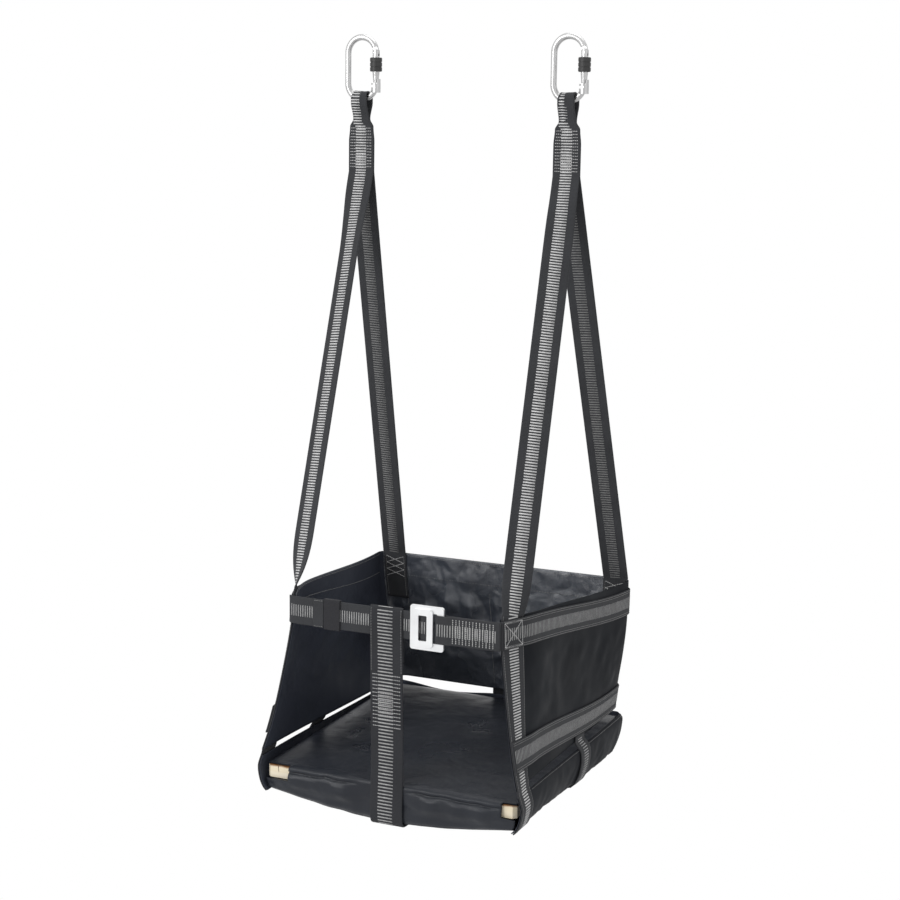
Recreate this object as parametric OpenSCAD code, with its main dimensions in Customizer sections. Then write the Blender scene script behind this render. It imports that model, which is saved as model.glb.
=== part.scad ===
// Rope access seat: a fabric tub on a wooden board, hung by two webbing slings from two
// oval screw gate carabiners. X to the right, Y to the back, Z up. The origin is the
// suspension point, midway between the carabiners, level with the inside of their crowns.

/* [Carabiners] */
// Spacing of the two carabiners, centre to centre
sling_spacing = 356; // [320:2:400]
// Outer width of the oval
carab_w = 60; // [58:1:64]
// Outer height of the oval
carab_h = 108; // [106:1:120]
// Thickness of the round steel bar
bar_d = 10; // [9:0.5:10.5]
// Diameter of the gate barrel
gate_d = 11.2; // [10.8:0.1:11.6]
// Thickness of the hinge tang that the gate's fork straddles
tang_t = 5; // [4.5:0.25:5.5]
// Diameter of the hinge rivet
rivet_d = 3.5; // [3:0.25:4]
// Diameter of the latch pin in the gate's tongue
latch_pin_d = 3; // [2.6:0.2:3.2]
// Outer diameter of the cup that the gate's tongue shuts into
cup_d = 15.2; // [14.6:0.2:15.6]
// Length of the gate from its rivet to the end of the tongue
gate_l = 56.6; // [56:0.2:57.2]
// Outer diameter of the ribbed locking sleeve
sleeve_d = 19.6; // [19:0.2:20.4]
// Length of the locking sleeve
sleeve_l = 22; // [20:1:24]
// Travel of the locking sleeve from open to locked
sleeve_travel = 18; // [16:0.5:18]

/* [Slings] */
// Width of the webbing in slings, bands and belt
web_w = 45; // [40:1:50]
// Thickness of the webbing
web_t = 2.4; // [2:0.2:3]
// Width of the folded webbing eye on the carabiner
eye_w = 28; // [24:1:30]
// Thickness of the folded webbing round the eye
eye_t = 4; // [3:0.5:5]
// Length of the sewn tab under the eye
tab_l = 72; // [60:2:90]
// Turn of each front sling leg outwards, in degrees
leg_turn = 22; // [0:1:30]
// Length that each rear leg is sewn down inside the back wall
rear_sewn_l = 84; // [70:2:110]

/* [Tub] */
// Height from the suspension point down to the top of the board
hang_h = 1148; // [1000:4:1300]
// Depth of the tub's rim, front to back
rim_depth = 440; // [400:2:470]
// Width between the rim's front corners
rim_front_w = 388; // [370:2:400]
// Width between the rim's rear corners
rim_rear_w = 474; // [450:2:490]
// Height of the rim's front corners over the top of the board
rim_front_h = 283; // [260:1:310]
// Height of the rim's rear corners over the top of the board
rim_rear_h = 254; // [230:1:280]
// How far the foot of the walls stands off the board at its front corners
foot_stand_off = 2; // [0:1:6]
// How far the skirt stands off the board at its front corners
front_stand_off = 10; // [7:1:16]
// How far the skirt stands off the board at its rear corners
rear_stand_off = 9; // [6:1:12]
// How far the foot of the walls draws in over the board at its rear corners
foot_draw_in = 7; // [0:1:12]
// Thickness of the coated tub fabric
fabric_t = 1.6; // [1.2:0.2:2]
// Height of the foot of the walls over the top of the board, at the front
wall_foot_h = 27; // [22:1:34]
// Height of the foot of the walls over the top of the board, at the rear
wall_foot_rear_h = 16; // [13:1:22]
// Open slit between the walls and the seat's skirt
slit_h = 8; // [5:1:10]
// Further opening of the slit on either side of the middle of the back
slit_swell = 8; // [0:1:9]
// Margin of wall above the rim band at the front corners
rim_margin = 2; // [1:0.5:8]
// Margin of wall above the rim band at the rear corners
rim_rear_margin = 14; // [8:1:18]
// Height of the lower band's bottom edge over the foot of the walls, at the front
low_band_h = 25; // [16:1:30]
// Height of the lower band's bottom edge over the foot of the walls, at the rear
low_band_rear_h = 1; // [1:0.5:8]
// How far the front edges of the side walls turn inwards at the rim
front_curl = 20; // [8:1:24]
// Reach of that turn along each side wall, as a share of its length
curl_share = 0.25; // [0.15:0.01:0.3]
// Reach of the rounded rear corners along each wall, as a share of its length
corner_share = 0.04; // [0.03:0.01:0.06]
// Depth of the soft folds in the walls
fold_depth = 2.5; // [0:0.5:4]

/* [Seat] */
// Width of the wooden board
board_w = 430; // [410:2:440]
// Depth of the wooden board, front to back
board_l = 480; // [460:2:490]
// Thickness of the wooden board
board_t = 20; // [16:1:24]
// Sag of the pocket below the board at its two sides
sag_edge = 20; // [12:1:22]
// Further sag of the pocket in the middle
sag_mid = 22; // [10:1:26]
// Width of the wood left bare at the left front corner
bare_left = 42; // [20:1:50]
// Width of the wood left bare at the right front corner
bare_right = 22; // [16:1:50]
// Depth of the skirt below the underside of the board, at the front
skirt_drop = 21; // [18:1:28]
// Depth of the skirt below the underside of the board, at the rear
skirt_rear_drop = 42; // [34:1:46]
// How far the strap under the seat lifts the hem in the middle of the back
hem_lift = 16; // [12:1:24]
// How far the hem of the skirt tucks in under the board
hem_tuck = 18; // [10:1:22]
// Width of the strap between the legs
crotch_w = 56; // [46:1:58]
// Place of the belt loop of that strap, left of the middle
crotch_shift = 10; // [0:1:16]
// Skew of the strap under the seat, from the middle to each side
cross_skew = 50; // [0:2:60]

/* [Buckle] */
// Centre of the buckle, right of the middle
buckle_x = 60; // [56:1:66]
// Width of the buckle frame
buckle_w = 56; // [54:1:60]
// Height of the buckle frame
buckle_h = 70; // [68:1:76]
// Width of the buckle's bars
buckle_bar = 11; // [9:1:11]
// Thickness of the buckle's plates
buckle_t = 3.6; // [3:0.2:4]
// Width of the tongue plate
tongue_w = 34; // [32:1:36]
// Height of the tongue plate
tongue_h = 60; // [58:1:62]
// Width of the sliding keeper on the belt
keeper_w = 28; // [22:1:32]

/* [Hidden] */
$fn = 48;

// Clearances
running_gap = 0.1;       // a rivet in its tang
slide_gap = 0.3;         // moving pieces and soft neighbours
seam_gap = 0.4;          // between sewn layers
joint_lap = 0.3;         // lap of two stretches of the bar
joint_step = 0.1;        // step where they lap

// Carabiner, in its own plane, with the crown's inner side at z = 0
bend_r = (carab_w - bar_d) / 2;
top_z = bar_d / 2 - bend_r;              // centre of the upper bend
low_z = top_z - (carab_h - carab_w);     // centre of the lower bend
rod_z = low_z - bend_r;                  // middle of the bar under the eye
gate_r = gate_d / 2;
rivet_z = top_z + 0.5;
shoulder_r = 9.5;                        // clear circle round the rivet, cut in the body
tang_r = 4.5;
fork_gap = 0.15;
tongue_foot_z = rivet_z - gate_l;
cheek_top_z = tongue_foot_z + 8.4;       // top of the cup's cheeks
cup_floor_z = tongue_foot_z - 1.4;
cup_angle = 15;                          // short of the level, where the lower bend meets the cup
cup_foot_z = cup_floor_z - 5;
lip_z = cheek_top_z + 6.5;               // top of the cup's outer lip
cup_r = cup_d / 2;
lip_t = 1.6;
latch_z = cheek_top_z - 5;
latch_lift = 0.7;                        // room for the pin to rise as the gate swings
lip_x = 4.5;
tongue_t = 4.4;
tongue_r = 4;
taper_z = rivet_z - 31;                  // where the gate starts to taper
taper_foot_z = cheek_top_z + 0.6;        // and ends, clear of the cheeks
sleeve_bore_r = gate_r + slide_gap;
skirt_r = cup_r + 0.5;
skirt_l = 7;
sleeve_top_z = lip_z + 0.9 - skirt_l + sleeve_l + sleeve_travel;  // open; locked, it covers the lip
rib_count = 3;
groove_d = 0.8;
spring_r = 2.3;
spring_wire = 0.8;
plunger_r = 2.3;
spring_top_z = rivet_z - 13.5;
spring_l = 13;
bar_steps = 96;

// Sling eye: its inside is a ring that clears the curved bar, so that the seat can swing
inner_bend_r = bend_r - bar_d / 2;
eye_in_r = bend_r - sqrt(pow(inner_bend_r, 2) - pow(eye_w / 2, 2)) + slide_gap;
eye_out_r = eye_in_r + eye_t;
eye_point = 30;                          // depth of the closed eye below the bar
flare_z = rod_z - eye_point - 2;
tab_top_z = flare_z - 12;
tab_foot_z = tab_top_z - tab_l;
sling_x = sling_spacing / 2;

// Tub and seat
seat_y = -10;                            // middle of the seat, under the slings
board_top_z = -hang_h;
board_under_z = board_top_z - board_t;
rim_front_z = board_top_z + rim_front_h;
rim_rear_z = board_top_z + rim_rear_h;
foot_front_z = board_top_z + wall_foot_h;
foot_rear_z = board_top_z + wall_foot_rear_h;
hem_front_z = board_under_z - skirt_drop;
hem_rear_z = board_under_z - skirt_rear_drop;
skirt_front_l = foot_front_z - hem_front_z;
skirt_rear_l = foot_rear_z - hem_rear_z;
pocket_t = 2.4;                          // the pocket's doubled cloth
foot_front_w = board_w + 2 * foot_stand_off;
foot_rear_w = board_w - 2 * foot_draw_in;
skirt_front_w = board_w + 2 * front_stand_off;
skirt_rear_w = board_w + 2 * rear_stand_off;
rim_front_y = seat_y - rim_depth / 2;
rim_rear_y = seat_y + rim_depth / 2;
foot_overhang = 8;                       // of the walls' foot over the board's front and back
foot_front_y = seat_y - board_l / 2 - foot_overhang;
foot_rear_y = seat_y + board_l / 2 + foot_overhang - 1;
skirt_rear_y = seat_y + board_l / 2 + rear_stand_off + pocket_t;
board_cut = 5.6;                         // the board's cut corners
front_fold = 1.6;                        // the folded front of the pocket, as a multiple of its cloth
pocket_in = hem_tuck - min(front_stand_off, rear_stand_off) + 5;
flare_share = 0.85;                      // share of the drop to the board over which the skirt spreads
spread_power = 1.6;                      // the walls hang nearly straight, then spread
web_over_wall = fabric_t + seam_gap;
web_over_web = web_over_wall + web_t + seam_gap;
edge_share = web_w / rim_depth;
rear_leg_s = 1 + (web_w / 2 + 4) / rim_rear_w;  // place of the rear leg beside its corner

// Belt
belt_top_z = rim_front_z - rim_margin;
belt_foot_z = belt_top_z - web_w;
belt_mid_z = (belt_top_z + belt_foot_z) / 2;
belt_y = rim_front_y - web_over_web - 3;  // inner face of the straight belt
buckle_y = belt_y - web_t - slide_gap;    // back of the buckle frame
frame_left_x = buckle_x - buckle_w / 2;
frame_right_x = buckle_x + buckle_w / 2;
tongue_right_x = frame_right_x - buckle_bar - 6;
keeper_travel = 34;
keeper_t = 2;
keeper_room = 18;                         // left between the keeper and the crotch strap
keeper_x = -crotch_shift - crotch_w / 2 - keeper_room - keeper_travel - keeper_w / 2;
tack_drop = 40;                           // where the loop over the belt is sewn, below the belt
hem_mid_z = (hem_front_z + hem_rear_z) / 2;

// Vectors and blends
function lerp(a, b, t) = a + (b - a) * t;
function unit(v) = v / norm(v);
function smooth(t) = t <= 0 ? 0 : t >= 1 ? 1 : t * t * (3 - 2 * t);
function blend3(a, b, c, t) = lerp(lerp(a, b, t), lerp(b, c, t), t);
function steps(a, b, n) = [for (i = [0:n]) lerp(a, b, i / n)];

// Tub surface. s runs round the walls: 0 to 1 left, 1 to 2 back, 2 to 3 right. v is 0 at the
// rim, 1 at the foot of the walls and 2 at the hem of the seat's skirt.
function spread(v) = pow(max(min(v, 1), 0), spread_power);
// How far the skirt has spread, and how far it has tucked in under the board, for a foot at
// the given height and a skirt of the given length
function flare(v, foot_h, l) = smooth((v - 1) * l / (flare_share * foot_h));
function tuck(v, foot_h, l) = hem_tuck * smooth(((v - 1) * l - foot_h - board_t) / (l - foot_h - board_t));
function front_flare(v) = flare(v, wall_foot_h, skirt_front_l);
function rear_flare(v) = flare(v, wall_foot_rear_h, skirt_rear_l);
function front_tuck(v) = tuck(v, wall_foot_h, skirt_front_l);
function rear_tuck(v) = tuck(v, wall_foot_rear_h, skirt_rear_l);
function front_x(v) = v < 1 ? lerp(rim_front_w, foot_front_w, spread(v)) / 2
    : lerp(foot_front_w, skirt_front_w, front_flare(v)) / 2 - front_tuck(v);
function rear_x(v) = v < 1 ? lerp(rim_rear_w, foot_rear_w, spread(v)) / 2
    : lerp(foot_rear_w, skirt_rear_w, rear_flare(v)) / 2 - rear_tuck(v);
function front_y(v) = lerp(rim_front_y, foot_front_y, spread(v));
function rear_y(v) = v < 1 ? lerp(rim_rear_y, foot_rear_y, spread(v))
    : lerp(foot_rear_y, skirt_rear_y, rear_flare(v)) - rear_tuck(v);
function flip(p) = [-p[0], p[1]];
function left_plan(s, v) =
    let (a = [-front_x(v), front_y(v)], b = [-rear_x(v), rear_y(v)], k = corner_share)
    s < 1 - k ? lerp(a, b, s)
    : s < 1 + k ? blend3(lerp(a, b, 1 - k), b, lerp(b, flip(b), k), (s - 1 + k) / (2 * k))
    : lerp(b, flip(b), s - 1);
function curl(s, v) =
    s < curl_share ? front_curl * pow(1 - s / curl_share, 2) * (1 - pow(min(max(v, 0), 1), 2)) : 0;
function plan(s, v) = s <= 1.5 ? left_plan(s, v) + [curl(s, v), 0] : flip(plan(3 - s, v));
// A value that passes from the front corners to the rear ones
function between(s, front, rear) = lerp(front, rear, smooth(min(s, 3 - s)));
function rim_z(s) = between(s, rim_front_z, rim_rear_z);
function foot_z(s) = between(s, foot_front_z, foot_rear_z);
function hem_z(s) =
    between(s, hem_front_z, hem_rear_z) + (s > 1 && s < 2 ? hem_lift * sin(180 * (s - 1)) : 0);
function tub_z(s, v) = v <= 1 ? lerp(rim_z(s), foot_z(s), v) : lerp(foot_z(s), hem_z(s), v - 1);
function fold(s, v) = v > 1 ? 0 : fold_depth * sin(180 * v) * sin(400 * min(s, 3 - s) + 200 * v);
function tub_base(s, v) = let (p = plan(s, v)) [p[0], p[1], tub_z(s, v)];
function tub_normal(s, v) =
    let (d = 0.004, along = tub_base(s + d, v) - tub_base(s - d, v),
         down = tub_base(s, v + d) - tub_base(s, v - d))
    unit(cross(along, down));
function tub_point(s, v, off) =
    let (q = min(max(s, 0.005), 2.995))
    tub_base(s, v) + tub_normal(q, v) * (off + fold(s, v));
// Place of the skirt's upper edge, and of the lower band's lower edge
function slit_v(s) =
    1 + (slit_h + (s > 1 && s < 2 ? slit_swell * pow(sin(360 * s), 2) : 0)) / (foot_z(s) - hem_z(s));
function low_band_v(s) = 1 - between(s, low_band_h, low_band_rear_h) / (rim_z(s) - foot_z(s));
// Rows of the skirt's cloth, and of the webbing sewn on it
function skirt_rows(stops, off) =
    [for (t = steps(0, 1, 5)) [for (s = stops) tub_point(s, lerp(slit_v(s), 2, t), off)]];
corner_stops = [0.93, 0.955, 0.98, 1, 1.02, 1.045, 1.07];
left_stops = concat(steps(0, 0.12, 4), steps(0.24, 0.88, 6), corner_stops);
back_stops = concat(corner_stops, steps(1.16, 1.84, 8), [for (s = corner_stops) s + 1]);
wall_rows = steps(0, 1, 12);
tub_stops = concat(steps(0, 0.12, 4), steps(0.24, 0.88, 6), back_stops,
                   [for (s = steps(0.12, 0.76, 6)) s + 2], steps(2.88, 3, 4));

// Two triangles for a face of four corners
function quad(a, b, c, d) = [[a, b, c], [a, c, d]];

// A solid between two grids of points that have the same rows and columns
module layer(front, back) {
    rows = len(front);
    cols = len(front[0]);
    last = rows * cols;
    cells = [for (i = [0:rows - 2], j = [0:cols - 2])
        let (k = i * cols + j) [k, k + 1, k + cols + 1, k + cols]];
    edge = concat([for (j = [0:cols - 1]) j], [for (i = [2:rows]) i * cols - 1],
                  [for (j = [2:cols]) last - j], [for (i = [rows - 2:-1:1]) i * cols]);
    faces = concat(
        [for (c = cells) each quad(c[0], c[1], c[2], c[3])],
        [for (c = cells) each quad(last + c[0], last + c[3], last + c[2], last + c[1])],
        [for (i = [0:len(edge) - 1])
            let (a = edge[i], b = edge[(i + 1) % len(edge)]) each quad(a, last + a, last + b, b)]);
    polyhedron(points = concat([for (r = front) each r], [for (r = back) each r]), faces = faces);
}

// Rows of points of a strap along [centre, across, normal] frames, on one of its faces
strap_cols = [-0.5, -1 / 6, 1 / 6, 0.5];
function strap_face(frames, w, off) =
    [for (f = frames) [for (c = strap_cols) f[0] + f[1] * (w * c) + f[2] * off]];

module strap(frames, w, t) {
    layer(strap_face(frames, w, t / 2), strap_face(frames, w, -t / 2));
}

// A patch of the tub's surface, from one offset to another
module tub_patch(stops, rows, off, t) {
    layer([for (v = rows) [for (s = stops) tub_point(s, v, off)]],
          [for (v = rows) [for (s = stops) tub_point(s, v, off + t)]]);
}

// Place at the left carabiner (side -1) or the right one (side 1); both face the same way
module at_sling(side) {
    translate([side * sling_x, 0, 0]) children();
}

// A rod across the carabiner
module cross_rod(z, r, l) {
    translate([bend_r, 0, z]) rotate([90, 0, 0]) cylinder(r = r, h = l, center = true);
}

// The bent bar from one angle to the other, seen from the front
module bend(z, a0, a1, d = bar_d) {
    translate([0, 0, z]) rotate([90, 0, 0]) rotate([0, 0, a0])
        rotate_extrude(angle = a1 - a0, $fn = bar_steps) translate([bend_r, 0]) circle(d = d);
}

module cup() {
    slot_w = tongue_t + 2 * slide_gap;
    notch_r = latch_pin_d / 2 + slide_gap;
    inner_x = bend_r - 2 * cup_r;
    difference() {
        translate([bend_r, 0, cup_foot_z]) cylinder(r = cup_r, h = cheek_top_z - cup_foot_z);
        // Slot for the gate's tongue, open to the inside of the oval
        translate([inner_x, -slot_w / 2, cup_floor_z])
            cube([2 * cup_r + tongue_r + 1, slot_w, gate_l]);
        // Notches for the latch pin
        translate([inner_x, -2 * cup_r, latch_z - notch_r])
            cube([2 * cup_r + notch_r, 4 * cup_r, 2 * notch_r + latch_lift]);
    }
    // Outer lip that stops the gate
    translate([bend_r, 0, cheek_top_z - joint_lap])
        linear_extrude(lip_z - cheek_top_z + joint_lap)
            intersection() {
                difference() {
                    circle(r = cup_r - joint_step);
                    circle(r = cup_r - lip_t);
                }
                translate([lip_x, -cup_r]) square(2 * cup_r);
            }
}

module carabiner(side) {
    at_sling(side) color([0.82, 0.83, 0.84]) {
        difference() {
            union() {
                translate([-bend_r, 0, low_z - joint_lap])
                    cylinder(d = bar_d - 2 * joint_step, h = top_z - low_z + 2 * joint_lap);
                bend(top_z, 6, 180);
                bend(low_z, 180, 360 - cup_angle);
            }
            cross_rod(rivet_z, shoulder_r, 2 * bar_d);
            translate([bend_r, 0, cup_foot_z + 1]) cylinder(r = cup_r - 1, h = gate_l);
        }
        // Tang: the flattened end of the bar, with the rivet's hole
        difference() {
            intersection() {
                union() {
                    bend(top_z, 2, 60, bar_d - 2 * joint_step);
                    cross_rod(rivet_z, tang_r, tang_t);
                }
                translate([bend_r / 2, -tang_t / 2, rivet_z - tang_r])
                    cube([carab_w, tang_t, 2 * tang_r + bar_d]);
            }
            cross_rod(rivet_z, rivet_d / 2 + running_gap, 2 * tang_t);
        }
        cup();
    }
}

module gate(side) {
    at_sling(side) color([0.84, 0.85, 0.86]) difference() {
        union() {
            translate([bend_r, 0, taper_z]) cylinder(r = gate_r, h = rivet_z - taper_z);
            intersection() {
                cross_rod(rivet_z, gate_r, 2 * gate_r);
                translate([bend_r, 0, rivet_z - 1]) cylinder(r = gate_r, h = 2 * gate_r);
            }
            translate([bend_r, 0, taper_foot_z])
                cylinder(r1 = tongue_r + 0.2, r2 = gate_r, h = taper_z - taper_foot_z);
            intersection() {
                translate([bend_r - tongue_r, -tongue_t / 2, tongue_foot_z - 1])
                    cube([2 * tongue_r, tongue_t, taper_foot_z - tongue_foot_z + 2]);
                cross_rod(rivet_z, gate_l, tongue_t + 1);
            }
        }
        // Fork for the tang
        translate([bend_r - gate_d, -tang_t / 2 - fork_gap, rivet_z - tang_r - 1])
            cube([2 * gate_d, tang_t + 2 * fork_gap, 2 * gate_d]);
        cross_rod(rivet_z, rivet_d / 2, 2 * gate_d);
        cross_rod(latch_z, latch_pin_d / 2, 2 * gate_d);
        // Bore for the spring and its plunger
        translate([bend_r, 0, spring_top_z - spring_l])
            cylinder(r = spring_r + fork_gap, h = 2 * spring_l);
    }
}

module gate_rivet(side) {
    at_sling(side) color([0.7, 0.71, 0.72]) cross_rod(rivet_z, rivet_d / 2, gate_d + 0.4);
}

module latch_pin(side) {
    at_sling(side) color([0.7, 0.71, 0.72]) cross_rod(latch_z, latch_pin_d / 2, 2 * cup_r - 4.4);
}

module gate_spring(side) {
    at_sling(side) color([0.6, 0.6, 0.62]) translate([bend_r, 0, spring_top_z - spring_l]) difference() {
        cylinder(r = spring_r, h = spring_l);
        translate([0, 0, -1]) cylinder(r = spring_r - spring_wire, h = spring_l + 2);
    }
}

module gate_plunger(side) {
    tip_z = rivet_z - tang_r - slide_gap;
    at_sling(side) color([0.75, 0.76, 0.77]) translate([bend_r, 0, spring_top_z])
        cylinder(r = plunger_r, h = tip_z - spring_top_z);
}

module locking_sleeve(side) {
    pitch = sleeve_l / rib_count;
    at_sling(side) color([0.16, 0.16, 0.17]) translate([bend_r, 0, sleeve_top_z - sleeve_l]) rotate_extrude()
        difference() {
            union() {
                square([sleeve_d / 2 - groove_d, sleeve_l]);
                for (i = [0:rib_count - 1])
                    translate([0, i * pitch + 0.8]) square([sleeve_d / 2, pitch - 1.6]);
            }
            translate([-1, -1]) square([sleeve_bore_r + 1, sleeve_l + 2]);
            translate([-1, -1]) square([skirt_r + 1, skirt_l + 1]);
        }
}

// Outline of a drop: an arc about the bar, closed to a point below
module drop(r, d) {
    dip = asin(r / d);
    polygon(concat([for (a = steps(-dip, 180 + dip, 28)) [r * cos(a), r * sin(a)]], [[0, -d]]));
}

module sling_eye(side) {
    at_sling(side) color([0.25, 0.25, 0.26]) {
        translate([-eye_w / 2, 0, rod_z]) rotate([90, 0, 90]) linear_extrude(eye_w) difference() {
            union() {
                drop(eye_out_r, eye_point + 14);
                translate([-web_t - seam_gap / 2, -eye_point - 6]) square([2 * web_t + seam_gap, 16]);
            }
            drop(eye_in_r, eye_point);
        }
        // Tab of both legs, sewn together
        translate([0, web_t + seam_gap / 2, 0]) rotate([90, 0, 0]) linear_extrude(2 * web_t + seam_gap)
            polygon([[-eye_w / 2, flare_z], [eye_w / 2, flare_z], [web_w / 2, tab_top_z],
                     [web_w / 2, tab_foot_z], [-web_w / 2, tab_foot_z], [-web_w / 2, tab_top_z]]);
    }
}

// Frames of a leg from the tab down, turned by an angle that grows to a last one near the rim
function leg_frames(a, b, normal_a, normal_b, turn, n) =
    [for (t = steps(0, 1, n))
        let (down = unit(lerp([0, 0, -1], unit(b - a), smooth(t / 0.1))),
             held = [sin(turn) * smooth(t / 0.2), -cos(turn * smooth(t / 0.2)), 0],
             want = lerp(lerp(normal_a, unit(held), smooth(t / 0.1)), normal_b, smooth((t - 0.86) / 0.14)),
             across = unit(cross(want, down)))
        [lerp(a, b, t), across, cross(down, across)]];

module front_leg(side) {
    s = edge_share / 2;
    stops = [for (c = strap_cols) s - edge_share * c];
    foot = tub_point(s, 0, web_over_wall + web_t / 2);
    top = [-sling_x, -(web_t + seam_gap) / 2, tab_foot_z - seam_gap];
    frames = leg_frames(top, foot, [0, -1, 0], tub_normal(s, 0), -leg_turn, 28);
    hung = [for (i = [0:len(frames) - 2]) frames[i]];
    function sewn(off) = [[for (s = stops) tub_point(s, 0, off)]];
    color([0.25, 0.25, 0.26]) mirror([side > 0 ? 1 : 0, 0, 0])
        layer(concat(strap_face(hung, web_w, web_t / 2), sewn(web_over_wall + web_t)),
              concat(strap_face(hung, web_w, -web_t / 2), sewn(web_over_wall)));
}

// Rear leg, sewn down inside the back wall beside the corner
module rear_leg(side) {
    stops = [for (c = strap_cols) rear_leg_s + web_w / rim_rear_w * c];
    rows = steps(0, rear_sewn_l / rim_rear_h, 4);
    gap = 2 * seam_gap;
    foot = tub_point(rear_leg_s, 0, -gap - web_t / 2);
    top = [-sling_x, (web_t + seam_gap) / 2, tab_foot_z - seam_gap];
    frames = leg_frames(top, foot, [0, -1, 0], -tub_normal(rear_leg_s, 0), 0, 12);
    hung = [for (i = [0:len(frames) - 2]) frames[i]];
    function sewn(off) = [for (v = rows) [for (s = stops) tub_point(s, v, off)]];
    color([0.23, 0.23, 0.24]) mirror([side > 0 ? 1 : 0, 0, 0])
        layer(concat(strap_face(hung, web_w, web_t / 2), sewn(-gap - web_t)),
              concat(strap_face(hung, web_w, -web_t / 2), sewn(-gap)));
}

// Webbing down the front edge of a side wall and on to the hem of the skirt
module edge_webbing(side) {
    stops = [0.002, 0.03, 0.06, 0.09, edge_share];
    function face(off) = concat(
        [for (v = steps(2 * seam_gap / rim_front_h, 1, 12)) [for (s = stops) tub_point(s, v, off)]],
        skirt_rows(stops, off));
    color([0.25, 0.25, 0.26]) mirror([side > 0 ? 1 : 0, 0, 0])
        layer(face(web_over_wall), face(web_over_web - seam_gap));
}

module side_wall(side) {
    color([0.12, 0.13, 0.15]) mirror([side > 0 ? 1 : 0, 0, 0])
        tub_patch([for (s = left_stops) if (s <= 1) s], wall_rows, 0, fabric_t);
}

module back_wall() {
    stops = [for (s = back_stops) if (s >= 1 && s <= 2) s];
    color([0.12, 0.13, 0.15]) tub_patch(stops, wall_rows, 0, fabric_t);
}

// Skirt round the board, open in front
module seat_skirt() {
    color([0.13, 0.14, 0.16]) layer(skirt_rows(tub_stops, 0), skirt_rows(tub_stops, fabric_t));
}

// A band of webbing round the outside of the walls, riding over the edge webbing at its ends.
// Its upper edge lies the given drop below the rim at the front and at the rear corners.
module tub_band(front_drop, rear_drop) {
    function ride(s) =
        lerp(web_over_web, web_over_wall, smooth((min(s, 3 - s) - edge_share - 0.01) / 0.1));
    function at(s, drop, off) =
        tub_point(s, (between(s, front_drop, rear_drop) + drop) / (rim_z(s) - foot_z(s)), off);
    drops = steps(0, web_w, 3);
    layer([for (d = drops) [for (s = tub_stops) at(s, d, ride(s))]],
          [for (d = drops) [for (s = tub_stops) at(s, d, ride(s) + web_t)]]);
}

module rim_band() {
    color([0.25, 0.25, 0.26]) tub_band(rim_margin, rim_rear_margin);
}

module lower_band() {
    front_top_z = foot_front_z + low_band_h + web_w;
    rear_top_z = foot_rear_z + low_band_rear_h + web_w;
    color([0.25, 0.25, 0.26]) tub_band(rim_front_z - front_top_z, rim_rear_z - rear_top_z);
}

module seat_board() {
    color([0.87, 0.76, 0.56]) translate([0, seat_y, board_under_z]) linear_extrude(board_t) difference() {
        square([board_w, board_l], center = true);
        for (x = [-1, 1], y = [-1, 1]) translate([x * board_w / 2, y * board_l / 2]) rotate(45)
            square(sqrt(2) * board_cut, center = true);
    }
}

// Pocket: a sleeve round the board, closed at the front and back, that hangs below it
module seat_pocket() {
    half = board_w / 2;
    front = seat_y - board_l / 2 - slide_gap;
    rear = seat_y + board_l / 2 + slide_gap;
    top = board_top_z + slide_gap;
    under = board_under_z - slide_gap;
    function drop(x) = sag_edge + sag_mid * cos(90 * x / half);
    function sag(x, t) = drop(x) * pow(sin(90 * min(2 * t, 1)), 0.35);
    // Each entry is y, z and the way out through the cloth
    function section(x) = concat(
        [for (t = steps(0, 1, 8)) [lerp(front, rear, t), top, t == 0 ? -1 : t == 1 ? 1 : 0, 1]],
        [[rear, lerp(top, under, 0.5), 1, 0], [rear, under, 1, -0.5]],
        [for (t = steps(0.03, 0.97, 10)) [lerp(rear, front, t), under - sag(x, t), 0, -1]],
        [[front + 1, under - drop(x) + 5, -1, -0.3], [front, under - drop(x) / 2, -front_fold, 0],
         [front, lerp(top, under, 0.5), -front_fold, 0]]);
    // The front corners leave the wood bare, the rear ones follow its cut corners and the cloth
    // below the board draws in behind the skirt
    function bare(p, x) =
        p[0] < front + 1 && p[1] > under ?
            1 - (x < 0 ? bare_left : bare_right) * smooth((abs(x) / half - 0.7) / 0.3) / half
        : p[1] < under - 1 ? 1 - pocket_in / half
        : p[0] > rear - 1 ? 1 - board_cut / half : 1;
    stations = steps(-half, half, 24);
    function face(t) = [for (x = stations) [for (p = section(x))
        [x * bare(p, x), p[0] + p[2] * t, p[1] + p[3] * t]]];
    outer = face(pocket_t);
    inner = face(0);
    rows = len(outer);
    cols = len(outer[0]);
    last = rows * cols;
    end = last - cols;
    cells = [for (i = [0:rows - 2], j = [0:cols - 1])
        let (k = i * cols, n = (j + 1) % cols) [k + j, k + n, k + cols + n, k + cols + j]];
    faces = concat(
        [for (c = cells) each quad(c[0], c[1], c[2], c[3])],
        [for (c = cells) each quad(last + c[0], last + c[3], last + c[2], last + c[1])],
        [for (j = [0:cols - 1]) let (n = (j + 1) % cols) each quad(j, last + j, last + n, n)],
        [for (j = [0:cols - 1])
            let (a = end + (j + 1) % cols, b = end + j) each quad(a, last + a, last + b, b)]);
    points = concat([for (r = outer) each r], [for (r = inner) each r]);
    color([0.14, 0.15, 0.18]) polyhedron(points = points, faces = faces);
}

// Strap between the legs: looped over the belt, down to the seat, under it and up the back
function strap_run(points, xs) =
    [for (i = [0:len(points) - 1])
        let (a = points[max(i - 1, 0)], b = points[min(i + 1, len(points) - 1)], d = unit(b - a))
        [[xs[i], points[i][0], points[i][1]], [1, 0, 0], [0, d[1], -d[0]]]];

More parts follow.
